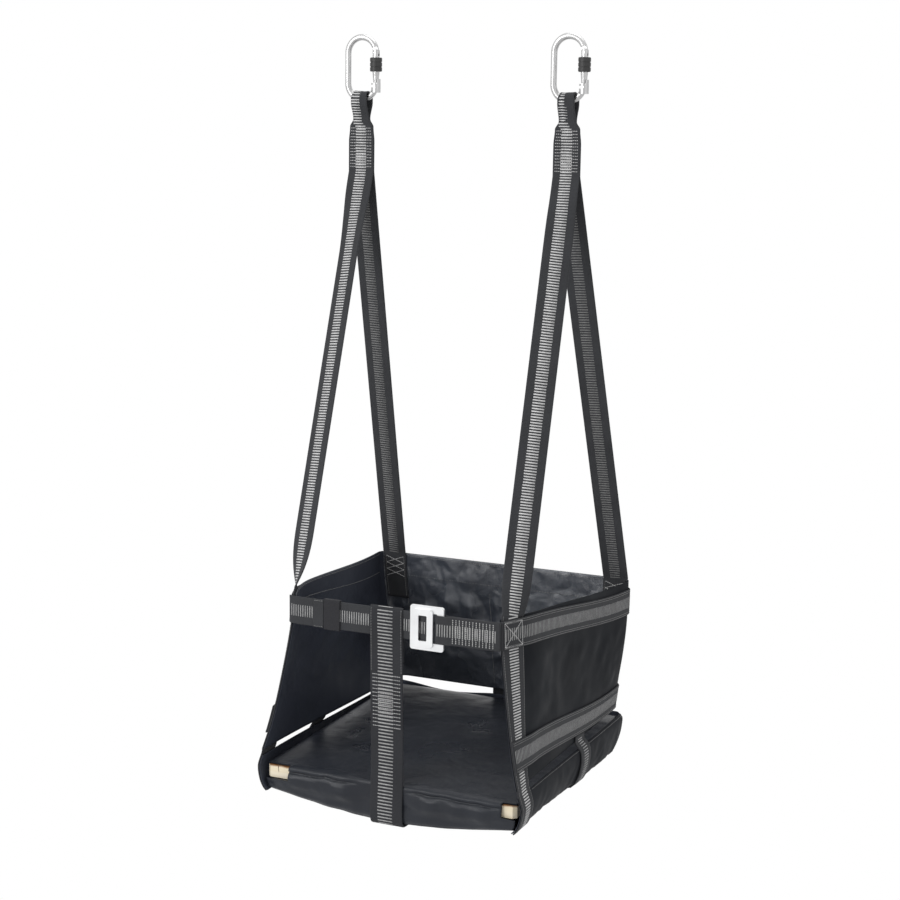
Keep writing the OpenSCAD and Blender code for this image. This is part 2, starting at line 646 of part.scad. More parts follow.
module crotch_strap() {
    over = belt_top_z + slide_gap + web_t / 2;
    front = belt_y - web_t - slide_gap - web_t / 2;
    behind = belt_y + slide_gap + web_t / 2;
    low_y = seat_y - board_l / 2 - slide_gap - front_fold * pocket_t - web_t - slide_gap;
    low_z = board_under_z - sag_edge - sag_mid - pocket_t - web_t;
    back_y = skirt_rear_y + web_over_wall + web_t / 2 + seam_gap;
    tack_z = belt_foot_z - tack_drop;
    round_r = 14;
    behind_band = web_over_web + web_t / 2;
    run = concat(
        [[front + web_t + seam_gap, tack_z], [behind, belt_foot_z - 8], [behind, over - 1],
         [(front + behind) / 2, over + 1], [front, over - 1], [front, belt_foot_z]],
        [for (t = steps(0, 1, 6)) lerp([front - 1.2, tack_z], [low_y, board_under_z - 12], t)],
        [[low_y, low_z + round_r], [low_y + round_r / 4, low_z + round_r / 4]],
        [for (t = steps(0, 1, 5)) [lerp(low_y + round_r, back_y - round_r, t), low_z]],
        [[back_y - round_r / 4, low_z + round_r / 4], [back_y, low_z + round_r],
         [back_y, board_under_z]],
        [for (v = steps(1, 0.02, 6))
            [tub_point(1.5, v, behind_band)[1] + fold_depth, tub_z(1.5, v)]]);
    function shift(p) =
        p[0] > 0 ? 0 : -crotch_shift * smooth((p[1] - board_under_z) / (belt_top_z - board_under_z));
    color([0.25, 0.25, 0.26]) strap(strap_run(run, [for (p = run) shift(p)]), crotch_w, web_t);
}

// Strap across under the seat. Its ends are sewn over the skirt up to the lower band.
module cross_strap() {
    mid_y = seat_y - foot_overhang;
    half = board_w / 2;
    low_z = board_under_z - sag_edge - sag_mid - 9;
    hem_x = half - hem_tuck + rear_stand_off;
    cols = [for (c = strap_cols) c * web_w];
    function at_s(y) = (y - foot_front_y) / (skirt_rear_y - foot_front_y);
    // One end, down from the band to the hem, as rows of points on the left or the right
    function end(g, t) =
        let (left = [for (c = cols) at_s(mid_y + g * cross_skew + c)],
             stops = [for (s = left) g < 0 ? s : 3 - s])
        concat([[for (s = stops) tub_point(s, low_band_v(s) + 0.004, web_over_wall + t)]],
               skirt_rows(stops, web_over_wall + t));
    half_run = [[hem_x - 8, hem_mid_z - 7], [hem_x - 30, low_z + 6], [half / 2, low_z]];
    run = concat([for (p = half_run) [-p[0], p[1]]], [[0, low_z]], [for (i = [2:-1:0]) half_run[i]]);
    function under(t) =
        [for (p = run) [for (c = cols) [p[0], mid_y + cross_skew * p[0] / half + c, p[1] - t]]];
    function face(t) = concat(end(-1, t), under(t), [for (i = [6:-1:0]) end(1, t)[i]]);
    color([0.25, 0.25, 0.26]) layer(face(0), face(web_t));
}

// Plan of a belt's inner face, from the end of the rim band round to the straight belt
function belt_turn(t) =
    let (e = tub_point(0, (rim_margin + web_w) / rim_front_h, web_over_web))
    blend3([e[0], e[1]], [e[0] + 3, belt_y], [e[0] + web_w / 2, belt_y], t);

module belt_plan(points, t) {
    front = [for (i = [0:len(points) - 1])
        let (a = points[max(i - 1, 0)], b = points[min(i + 1, len(points) - 1)], d = unit(b - a))
        points[i] + [d[1], -d[0]] * t];
    translate([0, 0, belt_foot_z]) linear_extrude(web_w)
        polygon(concat(points, [for (i = [len(points) - 1:-1:0]) front[i]]));
}

module belt_left() {
    end_x = tongue_right_x - 1;
    over_y = belt_y - web_t - slide_gap - 1;
    bar_x = frame_left_x + buckle_bar;
    run = concat([for (t = steps(0, 1, 8)) belt_turn(t)],
                 [[bar_x + 1, belt_y], [bar_x + 9, over_y], [end_x, over_y]]);
    color([0.25, 0.25, 0.26]) belt_plan(run, web_t);
}

module belt_right() {
    bar_x = frame_right_x - buckle_bar - slide_gap;
    bar_y = buckle_y - buckle_t - slide_gap;
    bar_w = buckle_bar + 2 * slide_gap;
    bar_h = buckle_t + 2 * slide_gap;
    pad_x = frame_right_x + 2;
    pad_y = belt_y - 2 * web_t - seam_gap;
    run_x = frame_right_x + 6;
    end_x = -belt_turn(1)[0];
    color([0.25, 0.25, 0.26]) {
        mirror([1, 0, 0]) belt_plan([for (t = steps(0, 1, 8)) belt_turn(t)], web_t);
        translate([0, 0, belt_foot_z]) linear_extrude(web_w) difference() {
            union() {
                translate([run_x, belt_y - web_t]) square([end_x - run_x, web_t]);
                translate([bar_x - web_t, bar_y - web_t]) square([bar_w + 2 * web_t, bar_h + 2 * web_t]);
                // Sewn pad of folded webbing
                translate([pad_x, pad_y]) square([2 * web_w, 2 * web_t]);
            }
            translate([bar_x, bar_y]) square([bar_w, bar_h]);
        }
    }
}

module belt_keeper() {
    inner_t = web_t + 2 * slide_gap;
    inner_w = web_w + 2 * slide_gap;
    color([0.17, 0.17, 0.18]) translate([keeper_x - keeper_w / 2, belt_y - web_t / 2, belt_mid_z])
        rotate([90, 0, 90]) linear_extrude(keeper_w) difference() {
            square([inner_t + 2 * keeper_t, inner_w + 2 * keeper_t], center = true);
            square([inner_t, inner_w], center = true);
        }
}

// A flat ring with round corners, standing in the belt's plane
module ring_plate(w, h, bar, t, r) {
    module rounded(a, b, q) {
        square([a - 2 * q, b], center = true);
        square([a, b - 2 * q], center = true);
        for (x = [-1, 1], z = [-1, 1]) translate([x * (a / 2 - q), z * (b / 2 - q)]) circle(r = q);
    }
    rotate([90, 0, 0]) linear_extrude(t) difference() {
        rounded(w, h, r);
        rounded(w - 2 * bar, h - 2 * bar, r / 3);
    }
}

module buckle_frame() {
    color([0.86, 0.87, 0.88]) translate([buckle_x, buckle_y, belt_mid_z])
        ring_plate(buckle_w, buckle_h, buckle_bar, buckle_t, 4);
}

module buckle_tongue() {
    color([0.9, 0.91, 0.92])
        translate([tongue_right_x - tongue_w / 2, buckle_y - buckle_t - slide_gap, belt_mid_z])
            ring_plate(tongue_w, tongue_h, buckle_bar - 1, buckle_t - 0.6, 6);
}

carabiner(-1);  // carabiner_left
carabiner(1);  // carabiner_right
gate(-1);  // gate_left
gate(1);  // gate_right
gate_rivet(-1);  // gate_rivet_left
gate_rivet(1);  // gate_rivet_right
latch_pin(-1);  // latch_pin_left
latch_pin(1);  // latch_pin_right
gate_spring(-1);  // gate_spring_left
gate_spring(1);  // gate_spring_right
gate_plunger(-1);  // gate_plunger_left
gate_plunger(1);  // gate_plunger_right
locking_sleeve(-1);  // locking_sleeve_left
locking_sleeve(1);  // locking_sleeve_right
sling_eye(-1);  // sling_eye_left
sling_eye(1);  // sling_eye_right
front_leg(-1);  // front_leg_left
front_leg(1);  // front_leg_right
rear_leg(-1);  // rear_leg_left
rear_leg(1);  // rear_leg_right
edge_webbing(-1);  // edge_webbing_left
edge_webbing(1);  // edge_webbing_right
side_wall(-1);  // side_wall_left
side_wall(1);  // side_wall_right
back_wall();
seat_skirt();
rim_band();
lower_band();
seat_board();
seat_pocket();
crotch_strap();
cross_strap();
belt_left();
belt_right();
belt_keeper();
buckle_frame();
buckle_tongue();
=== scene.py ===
import math
import bpy
import numpy as np
from mathutils import Matrix, Vector, noise


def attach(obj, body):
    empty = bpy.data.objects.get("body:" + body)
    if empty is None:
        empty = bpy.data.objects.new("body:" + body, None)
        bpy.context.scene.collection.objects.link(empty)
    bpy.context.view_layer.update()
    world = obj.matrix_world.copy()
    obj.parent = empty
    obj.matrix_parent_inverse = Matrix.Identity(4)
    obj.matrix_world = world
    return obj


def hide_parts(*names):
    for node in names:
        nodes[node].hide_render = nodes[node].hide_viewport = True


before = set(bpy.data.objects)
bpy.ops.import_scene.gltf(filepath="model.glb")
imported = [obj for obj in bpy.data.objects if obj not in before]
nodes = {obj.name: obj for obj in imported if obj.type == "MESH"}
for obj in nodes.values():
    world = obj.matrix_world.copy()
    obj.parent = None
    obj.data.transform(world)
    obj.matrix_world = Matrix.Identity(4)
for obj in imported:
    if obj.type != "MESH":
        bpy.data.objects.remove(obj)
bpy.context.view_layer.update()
print("frame loaded:", len(nodes), "nodes")


def newObject(name, data):
    made = bpy.data.objects.new(name, data)
    bpy.context.scene.collection.objects.link(made)
    return made


# Camera, fitted to the seat's corners in the photograph
cameraView = {"lens": 72.66, "sensor": 36, "reach": 50, "azimuth": 23.53, "distance": 2.92027,
              "height": -0.13667, "yaw": -23.68, "pitch": 10.06, "roll": 0.86, "seatY": -0.010}


def makeCamera(view):
    azimuth, yaw, pitch, roll = (math.radians(view[k]) for k in ("azimuth", "yaw", "pitch", "roll"))
    forward = Vector((math.sin(yaw) * math.cos(pitch), math.cos(yaw) * math.cos(pitch), -math.sin(pitch)))
    right = Vector((math.cos(yaw), -math.sin(yaw), 0))
    up = right.cross(forward)
    rolledRight = right * math.cos(roll) + up * math.sin(roll)
    rolledUp = up * math.cos(roll) - right * math.sin(roll)
    camera = newObject("photoCamera", bpy.data.cameras.new("photoCamera"))
    camera.data.sensor_width = view["sensor"]
    camera.data.lens = view["lens"]
    camera.data.clip_end = view["reach"]
    turn = Matrix((rolledRight, rolledUp, -forward)).transposed().to_4x4()
    away = view["distance"]
    place = Vector((away * math.sin(azimuth), view["seatY"] - away * math.cos(azimuth), view["height"]))
    camera.matrix_world = Matrix.Translation(place) @ turn
    bpy.context.scene.camera = camera


makeCamera(cameraView)
print("camera placed")


# Shader groups and materials
def addNode(tree, kind, inputs=None, **settings):
    node = tree.nodes.new(kind)
    for key, value in settings.items():
        setattr(node, key, value)
    for key, value in (inputs or {}).items():
        if isinstance(value, bpy.types.NodeSocket):
            tree.links.new(value, node.inputs[key])
        else:
            node.inputs[key].default_value = value
    return node


def calc(tree, operation, a, b=0.0, c=0.0):
    return addNode(tree, "ShaderNodeMath", {0: a, 1: b, 2: c}, operation=operation).outputs[0]


def mixColour(tree, amount, a, b):
    return addNode(tree, "ShaderNodeMix", {"Factor": amount, 6: a, 7: b}, data_type="RGBA").outputs[2]


def ramp(tree, value, low, high, toLow=0.0, toHigh=1.0):
    return addNode(tree, "ShaderNodeMapRange", {"Value": value, "From Min": low, "From Max": high,
                                                "To Min": toLow, "To Max": toHigh}).outputs[0]


def noiseTexture(tree, vector, scale, detail=3.0, roughness=0.5):
    return addNode(tree, "ShaderNodeTexNoise", {"Vector": vector, "Scale": scale, "Detail": detail,
                                                "Roughness": roughness}).outputs[0]


def newGroup(name, inputs, outputs):
    group = bpy.data.node_groups.new(name, "ShaderNodeTree")
    for label, kind, value in inputs:
        socket = group.interface.new_socket(label, in_out="INPUT", socket_type=kind)
        if value is not None:
            socket.default_value = value
    for label in outputs:
        group.interface.new_socket(label, in_out="OUTPUT", socket_type="NodeSocketFloat")
    return group, group.nodes.new("NodeGroupInput"), group.nodes.new("NodeGroupOutput")


def makeWovenGroup():
    # Ribbed weave on a strap's own UV, which is in metres: X across, Y along
    t, given, out = newGroup("wovenStrap",
                             [("Across", "NodeSocketFloat", 0), ("Along", "NodeSocketFloat", 0),
                              ("Rib", "NodeSocketFloat", 0.0021), ("Yarn", "NodeSocketFloat", 0.0012)],
                             ["Height", "Shade"])

    def ribs(axis, pitch):
        turns = calc(t, "DIVIDE", given.outputs[axis], given.outputs[pitch])
        return calc(t, "ABSOLUTE", calc(t, "SINE", calc(t, "MULTIPLY", turns, math.pi)))

    yarns = calc(t, "MULTIPLY", ribs("Across", "Yarn"), 0.4)
    height = calc(t, "MULTIPLY_ADD", ribs("Along", "Rib"), 0.6, yarns)
    place = addNode(t, "ShaderNodeCombineXYZ", {0: given.outputs["Across"], 1: given.outputs["Along"]})
    fuzz = noiseTexture(t, place.outputs[0], 420.0)
    t.links.new(height, out.inputs["Height"])
    t.links.new(calc(t, "MULTIPLY", calc(t, "ADD", height, fuzz), 0.5), out.inputs["Shade"])
    return t


def makeCrinkleGroup():
    # Crinkles of a stiff coated cloth: sharp-edged creases over soft swells
    t, given, out = newGroup("coatedCrinkle",
                             [("Vector", "NodeSocketVector", None), ("Scale", "NodeSocketFloat", 22.0)],
                             ["Height", "Swell"])
    vector = given.outputs["Vector"]
    bend = addNode(t, "ShaderNodeTexNoise", {"Vector": vector, "Scale": 14.0, "Detail": 2.0})
    push = addNode(t, "ShaderNodeVectorMath", {0: bend.outputs["Color"], 1: (0.05, 0.05, 0.05)},
                   operation="MULTIPLY")
    place = addNode(t, "ShaderNodeVectorMath", {0: vector, 1: push.outputs[0]}, operation="ADD").outputs[0]
    cells = addNode(t, "ShaderNodeTexVoronoi", {"Vector": place, "Scale": given.outputs["Scale"],
                                                "Smoothness": 0.35}, feature="SMOOTH_F1")
    swell = noiseTexture(t, place, 9.0, 3.0, 0.6)
    t.links.new(calc(t, "MULTIPLY_ADD", cells.outputs["Distance"], 0.55, swell), out.inputs["Height"])
    t.links.new(swell, out.inputs["Swell"])
    return t


def makeGrainGroup():
    # Grain of a wooden board whose length runs along X, with its plies seen on the edges
    plyThick = 0.004
    t, given, out = newGroup("boardGrain", [("Vector", "NodeSocketVector", None)], ["Grain", "Ply"])
    squeeze = addNode(t, "ShaderNodeMapping", {"Vector": given.outputs["Vector"], "Scale": (3.0, 46.0, 46.0)})
    t.links.new(noiseTexture(t, squeeze.outputs[0], 2.2, 6.0, 0.62), out.inputs["Grain"])
    parts = addNode(t, "ShaderNodeSeparateXYZ", {0: given.outputs["Vector"]})
    ply = calc(t, "SINE", calc(t, "MULTIPLY", parts.outputs["Z"], 2 * math.pi / plyThick))
    t.links.new(ply, out.inputs["Ply"])
    return t


wovenGroup = makeWovenGroup()
crinkleGroup = makeCrinkleGroup()
grainGroup = makeGrainGroup()


def newMaterial(name, **fixed):
    material = bpy.data.materials.new(name)
    material.use_nodes = True
    shader = material.node_tree.nodes["Principled BSDF"]
    for key, value in fixed.items():
        shader.inputs[key.replace("_", " ")].default_value = value
    return material, material.node_tree, shader


def paint(tree, shader, colour, roughness):
    tree.links.new(colour, shader.inputs["Base Color"])
    tree.links.new(roughness, shader.inputs["Roughness"])


def bumpTo(tree, shader, height, strength, distance):
    bump = addNode(tree, "ShaderNodeBump", {"Height": height, "Strength": strength, "Distance": distance})
    tree.links.new(bump.outputs[0], shader.inputs["Normal"])


def objectPlace(tree):
    return addNode(tree, "ShaderNodeTexCoord").outputs["Object"]


def grey(value, green=1.0, blue=1.0):
    return (value, value * green, value * blue, 1)


def strapMaterial(name, dark, light):
    material, t, shader = newMaterial(name, Sheen_Weight=0.04, Sheen_Roughness=0.5, Specular_IOR_Level=0.12)
    uv = addNode(t, "ShaderNodeUVMap", uv_map="strapUV").outputs[0]
    parts = addNode(t, "ShaderNodeSeparateXYZ", {0: uv})
    weave = addNode(t, "ShaderNodeGroup", {"Across": parts.outputs["X"], "Along": parts.outputs["Y"]},
                    node_tree=wovenGroup)
    dust = noiseTexture(t, objectPlace(t), 19.0, 4.0)
    shade = calc(t, "MULTIPLY_ADD", weave.outputs["Shade"], 0.7, calc(t, "MULTIPLY", dust, 0.5))
    colour = mixColour(t, ramp(t, shade, 0.35, 0.85), dark, light)
    paint(t, shader, colour, ramp(t, dust, 0.3, 0.7, 0.67, 0.85))
    bumpTo(t, shader, weave.outputs["Height"], 0.55, 0.0004)
    return material


def coatedMaterial(name, dark, light, gloss, crinkle, scale, shine):
    material, t, shader = newMaterial(name, Specular_IOR_Level=shine)
    place = objectPlace(t)
    folds = addNode(t, "ShaderNodeGroup", {"Vector": place, "Scale": scale}, node_tree=crinkleGroup)
    dust = noiseTexture(t, place, 7.0, 5.0)
    rough = ramp(t, folds.outputs["Swell"], 0.35, 0.65, gloss - 0.07, gloss + 0.1)
    paint(t, shader, mixColour(t, ramp(t, dust, 0.35, 0.7), dark, light), rough)
    weave = noiseTexture(t, place, 900.0, 1.0)
    bumpTo(t, shader, calc(t, "MULTIPLY_ADD", weave, 0.05, folds.outputs["Height"]), crinkle, 0.012)
    return material


def threadMaterial(name, colour, worn):
    material, t, shader = newMaterial(name, Sheen_Weight=0.1)
    specks = noiseTexture(t, objectPlace(t), 160.0)
    tone = mixColour(t, ramp(t, specks, 0.35, 0.7), colour, worn)
    paint(t, shader, tone, ramp(t, specks, 0.3, 0.7, 0.55, 0.75))
    bumpTo(t, shader, specks, 0.3, 0.0004)
    return material


def metalMaterial(name, colour, shade, roughness, metallic=1.0):
    # Fine lines drawn along the bars over a cloudy tone
    material, t, shader = newMaterial(name, Metallic=metallic)
    place = objectPlace(t)
    tone = noiseTexture(t, place, 28.0, 3.0)
    drawn = addNode(t, "ShaderNodeMapping", {"Vector": place, "Scale": (2600.0, 2600.0, 300.0)}).outputs[0]
    lines = noiseTexture(t, drawn, 1.0, 2.0)
    wear = calc(t, "MULTIPLY_ADD", tone, 0.7, calc(t, "MULTIPLY", lines, 0.3))
    paint(t, shader, mixColour(t, ramp(t, tone, 0.3, 0.7), shade, colour),
          ramp(t, wear, 0.3, 0.7, roughness - 0.05, roughness + 0.07))
    bumpTo(t, shader, lines, 0.06, 0.0001)
    return material


# The board's colours and the places of its marks, in metres
wood = {"pale": (0.86, 0.79, 0.65, 1), "deep": (0.76, 0.66, 0.47, 1), "worn": (0.24, 0.11, 0.04, 1),
        "split": (0.12, 0.06, 0.03, 1), "brownEdgeFrom": -1.1488, "brownEdgeTo": -1.1462, "crackX": -0.192,
        "crackFoot": -1.160, "crackTop": -1.156, "crackWide": 0.0009, "crackDeep": 0.0003}


def woodMaterial(name):
    # Varnished wood with a darker brown band along its upper edge and a short crack near the left front
    # corner
    material, t, shader = newMaterial(name, Coat_Weight=0.1, Coat_Roughness=0.4)
    place = objectPlace(t)
    grain = addNode(t, "ShaderNodeGroup", {"Vector": place}, node_tree=grainGroup)
    body = mixColour(t, ramp(t, grain.outputs["Grain"], 0.3, 0.75), wood["deep"], wood["pale"])
    parts = addNode(t, "ShaderNodeSeparateXYZ", {0: place})
    height = calc(t, "MULTIPLY_ADD", noiseTexture(t, place, 60.0), 0.004, parts.outputs["Z"])
    # The colour kept under worn makes a darker brown band along the board's upper edge.
    edged = mixColour(t, ramp(t, height, wood["brownEdgeFrom"], wood["brownEdgeTo"]), body, wood["worn"])
    wander = calc(t, "MULTIPLY_ADD", noiseTexture(t, place, 90.0), 0.006, parts.outputs["X"])
    gap = calc(t, "ABSOLUTE", calc(t, "SUBTRACT", wander, wood["crackX"]))
    line = ramp(t, gap, wood["crackWide"], wood["crackDeep"])
    crack = calc(t, "MULTIPLY", line, ramp(t, parts.outputs["Z"], wood["crackFoot"], wood["crackTop"]))
    paint(t, shader, mixColour(t, crack, edged, wood["split"]),
          ramp(t, grain.outputs["Grain"], 0.3, 0.7, 0.45, 0.62))
    relief = calc(t, "MULTIPLY_ADD", grain.outputs["Ply"], 0.15, grain.outputs["Grain"])
    bumpTo(t, shader, relief, 0.2, 0.0006)
    return material


# Two tones each, as a grey with its shares of green and blue. Cloths add their roughness, crinkle, crinkles
# per metre and shine; metals add their roughness and how metallic they are.
webbings = {"webbing": ("charcoalWebbing", (0.024, 1.03, 1.12), (0.051, 1.03, 1.12)),
            "darkWebbing": ("darkWebbing", (0.017, 1.03, 1.15), (0.038, 1.03, 1.15)),
            "keeper": ("keeperWebbing", (0.019, 1, 1.12), (0.036, 1, 1.12))}
cloths = {"wall": ("sideCloth", (0.0090, 1.12, 1.4), (0.0145, 1.12, 1.35), 0.62, 0.10, 20.0, 0.07),
          # The inside faces of the side walls and skirt take a lighter cloth than the outside: painted light
          # against the shade inside the tub.
          "paintedLitInside": ("paintedLitInsideCloth", (0.029, 1.14, 1.6), (0.043, 1.14, 1.5), 0.50, 0.16, 18.0, 0.2),
          # The back wall's inside cloth is painted lighter still, painted light against the shade inside the
          # tub.
          "paintedLitBackInside": ("paintedLitBackCloth", (0.040, 1.14, 1.5), (0.066, 1.14, 1.4), 0.27, 1.0, 13.0, 1.0),
          "skirt": ("skirtCloth", (0.0115, 1.1, 1.35), (0.0180, 1.1, 1.3), 0.62, 0.12, 20.0, 0.07),
          "pocket": ("pocketCloth", (0.0120, 1.15, 1.6), (0.0205, 1.15, 1.5), 0.33, 0.45, 11.0, 0.27)}
yarns = {"ladder": ("ladderYarn", (0.46,), (0.64,)),
         "beltLadder": ("beltYarn", (0.26,), (0.39,)),
         # The third yarn is a darker copy of the ladder yarn: painted shade for the bars on the rear legs and
         # on the backs of the straps.
         "ladderInShade": ("ladderYarnInShade", (0.12,), (0.19,)),
         "tackThread": ("paleThread", (0.46,), (0.66,)),
         "webbingThread": ("edgeThread", (0.13,), (0.22,)),
         "clothThread": ("clothThread", (0.10,), (0.20,))}
metals = {"steel": ("carabinerSteel", (0.545,), (0.46,), 0.36),
          "pin": ("pinSteel", (0.55,), (0.44,), 0.36),
          "spring": ("springWire", (0.42,), (0.30,), 0.35),
          "sleeve": ("sleeveBlack", (0.034,), (0.020,), 0.48, 0.2),
          "buckle": ("buckleZinc", (0.80, 1.01, 1.02), (0.71, 1.01, 1.02), 0.42, 0.8)}
finish = {"wood": woodMaterial("boardWood")}
for make, looks in ((strapMaterial, webbings), (coatedMaterial, cloths), (threadMaterial, yarns),
                    (metalMaterial, metals)):
    for key, (name, first, second, *look) in looks.items():
        finish[key] = make(name, grey(*first), grey(*second), *look)

cadFinish = {"carabiner": "steel", "gate": "steel", "gate_rivet": "pin", "latch_pin": "pin",
             "gate_plunger": "pin", "gate_spring": "spring", "locking_sleeve": "sleeve"}


def dress(node, key):
    mesh = nodes[node].data
    mesh.materials.clear()
    mesh.materials.append(finish[key])


for side in ("left", "right"):
    for node, key in cadFinish.items():
        dress(node + "_" + side, key)
for node, key in (("seat_board", "wood"), ("buckle_frame", "buckle"), ("buckle_tongue", "buckle")):
    dress(node, key)
print("materials made:", len(finish))

# The tub's surface, as in the CAD source, in metres. s runs round the walls (0 to 1 left, 1 to 2 back, 2 to
# 3 right); v is 0 at the rim, 1 at the foot of the walls and 2 at the skirt's hem.
tub = {"hang": 1.148, "rimDepth": 0.440, "rimFront": 0.388, "rimRear": 0.474, "rimFrontHeight": 0.283,
       "rimRearHeight": 0.254, "boardWidth": 0.430, "boardLength": 0.480, "boardThick": 0.020,
       "footStandOff": 0.002, "frontStandOff": 0.010, "rearStandOff": 0.009, "footDrawIn": 0.007,
       "cloth": 0.0016, "seam": 0.0004, "wallFoot": 0.027, "wallFootRear": 0.016, "slit": 0.011,
       "slitSwell": 0.008, "rimMargin": 0.002, "rimRearMargin": 0.014, "lowBand": 0.025, "lowBandRear": 0.001,
       "frontCurl": 0.020, "curlShare": 0.25, "corner": 0.04, "fold": 0.0025, "skirtDrop": 0.021,
       "skirtRearDrop": 0.042, "hemLift": 0.016, "hemTuck": 0.0185, "hemV": 1.985, "flareShare": 1.2,
       "spread": 1.6, "overhang": 0.008, "rearTrim": 0.001, "pocketCloth": 0.0024, "centreY": -0.010}
# The webbing and the heights at which a sling changes its shape
web = {"width": 0.045, "thick": 0.0024, "eyeWidth": 0.028, "eyeTop": 0.0245, "eyeThick": 0.004,
       "slingX": 0.178, "rodZ": -0.093, "flareZ": -0.125, "tabTopZ": -0.137, "tabFootZ": -0.209,
       "tabTopWidth": 0.041, "legTurn": 22.0, "rearSewn": 0.084}
boardTop = -tub["hang"]
boardUnder = boardTop - tub["boardThick"]
rimFrontZ = boardTop + tub["rimFrontHeight"]
rimRearZ = boardTop + tub["rimRearHeight"]
footFrontZ = boardTop + tub["wallFoot"]
footRearZ = boardTop + tub["wallFootRear"]
hemFrontZ = boardUnder - tub["skirtDrop"]
hemRearZ = boardUnder - tub["skirtRearDrop"]
overWall = tub["cloth"] + tub["seam"]
overWeb = overWall + web["thick"] + tub["seam"]
boardFrontY = tub["centreY"] - tub["boardLength"] / 2
boardRearY = tub["centreY"] + tub["boardLength"] / 2
footFrontY = boardFrontY - tub["overhang"]
footRearY = boardRearY + tub["overhang"] - tub["rearTrim"]
skirtRearY = boardRearY + tub["rearStandOff"] + tub["pocketCloth"]
rimFrontY = tub["centreY"] - tub["rimDepth"] / 2
rimRearY = tub["centreY"] + tub["rimDepth"] / 2
edgeShare = web["width"] / tub["rimDepth"]


def smooth(t):
    t = np.clip(t, 0.0, 1.0)
    return t * t * (3 - 2 * t)


def lerp(a, b, t):
    return a + (b - a) * t


def unit(v):
    return v / np.maximum(np.linalg.norm(v, axis=-1, keepdims=True), 1e-12)


def fromFront(s):
    return np.minimum(s, 3 - np.asarray(s, float))


def between(s, front, rear):
    return lerp(front, rear, smooth(fromFront(s)))


def rimZ(s):
    return between(s, rimFrontZ, rimRearZ)


def footZ(s):
    return between(s, footFrontZ, footRearZ)


def atBack(s):
    return (np.asarray(s) > 1) & (np.asarray(s) < 2)


def hemZ(s):
    lift = np.where(atBack(s), tub["hemLift"] * np.sin(np.pi * (np.asarray(s) - 1)), 0)
    return between(s, hemFrontZ, hemRearZ) + lift


def wallHeight(s):
    return rimZ(s) - footZ(s)


def slitV(s):
    swell = np.where(atBack(s), tub["slitSwell"] * np.sin(2 * np.pi * np.asarray(s)) ** 2, 0)
    return 1 + (tub["slit"] + swell) / (footZ(s) - hemZ(s))


def lowBandV(s):
    return 1 - between(s, tub["lowBand"], tub["lowBandRear"]) / wallHeight(s)


def cornerLine(v, rim, foot, skirt, footHeight, length):
    # Half width of the tub at its front or rear corners; the skirt's hem rolls in below the board's top
    flare = smooth((v - 1) * length / (tub["flareShare"] * footHeight))
    below = np.clip(((v - 1) * length - footHeight) / (length - footHeight), 0, 1)
    tuck = tub["hemTuck"] * (1 - np.sqrt(1 - below ** 2))
    walls = lerp(rim, foot, np.clip(v, 0, 1) ** tub["spread"])
    return np.where(v < 1, walls, lerp(foot, skirt, flare) - tuck)


def tubBase(s, v):
    s, v = np.broadcast_arrays(np.asarray(s, float), np.asarray(v, float))
    t = np.where(s <= 1.5, s, 3 - s)
    half = tub["boardWidth"] / 2
    frontX = cornerLine(v, tub["rimFront"] / 2, half + tub["footStandOff"], half + tub["frontStandOff"],
                        tub["wallFoot"], footFrontZ - hemFrontZ)
    rear = (tub["wallFootRear"], footRearZ - hemRearZ)
    rearX = cornerLine(v, tub["rimRear"] / 2, half - tub["footDrawIn"], half + tub["rearStandOff"], *rear)
    rearY = cornerLine(v, rimRearY, footRearY, skirtRearY, *rear)
    frontY = lerp(rimFrontY, footFrontY, np.clip(v, 0, 1) ** tub["spread"])
    k = tub["corner"]
    x = np.where(t < 1 - k, lerp(-frontX, -rearX, t), lerp(-rearX, rearX, t - 1))
    y = np.where(t < 1 - k, lerp(frontY, rearY, t), rearY)
    q = np.clip((t - 1 + k) / (2 * k), 0, 1)
    ax, ay = lerp(-frontX, -rearX, 1 - k), lerp(frontY, rearY, 1 - k)
    inCorner = (t >= 1 - k) & (t < 1 + k)
    x = np.where(inCorner, lerp(lerp(ax, -rearX, q), lerp(-rearX, lerp(-rearX, rearX, k), q), q), x)
    y = np.where(inCorner, lerp(lerp(ay, rearY, q), rearY, q), y)
    reach = np.clip(1 - t / tub["curlShare"], 0, 1)
    x = (x + tub["frontCurl"] * reach ** 2 * (1 - np.clip(v, 0, 1) ** 2)) * np.where(s <= 1.5, 1, -1)
    z = np.where(v <= 1, lerp(rimZ(s), footZ(s), v), lerp(footZ(s), hemZ(s), v - 1))
    return np.stack([x, y, z], axis=-1)


def tubNormal(s, v):
    q, step = np.clip(s, 0.005, 2.995), 0.004
    around = tubBase(q + step, v) - tubBase(q - step, v)
    return unit(np.cross(around, tubBase(q, v + step) - tubBase(q, v - step)))


def tubPoint(s, v, off):
    # A point off the surface, which waves a little between rim and foot
    v = np.asarray(v, float)
    fold = np.where(v > 1, 0, tub["fold"] * np.sin(np.radians(180 * v))
                    * np.sin(np.radians(400 * fromFront(s) + 200 * v)))
    return tubBase(s, v) + tubNormal(s, v) * (off + fold)[..., None]


def onTub(s, v, off):
    return tubPoint(s, v, off), tubNormal(s, v)


# Cloth and webbing meshes
def meshPiece(name, points, faces, materials, uvs, slots=None):
    mesh = bpy.data.meshes.new(name)
    mesh.from_pydata([tuple(p) for p in points], [], faces)
    mesh.polygons.foreach_set("use_smooth", [True] * len(mesh.polygons))
    layer = mesh.uv_layers.new(name="strapUV")
    index = np.empty(len(mesh.loops), int)
    mesh.loops.foreach_get("vertex_index", index)
    layer.data.foreach_set("uv", np.asarray(uvs, float)[index].ravel())
    for key in materials:
        mesh.materials.append(finish[key])
    if slots is not None:
        mesh.polygons.foreach_set("material_index", slots)
    mesh.validate()
    mesh.update()
    return newObject(name, mesh)


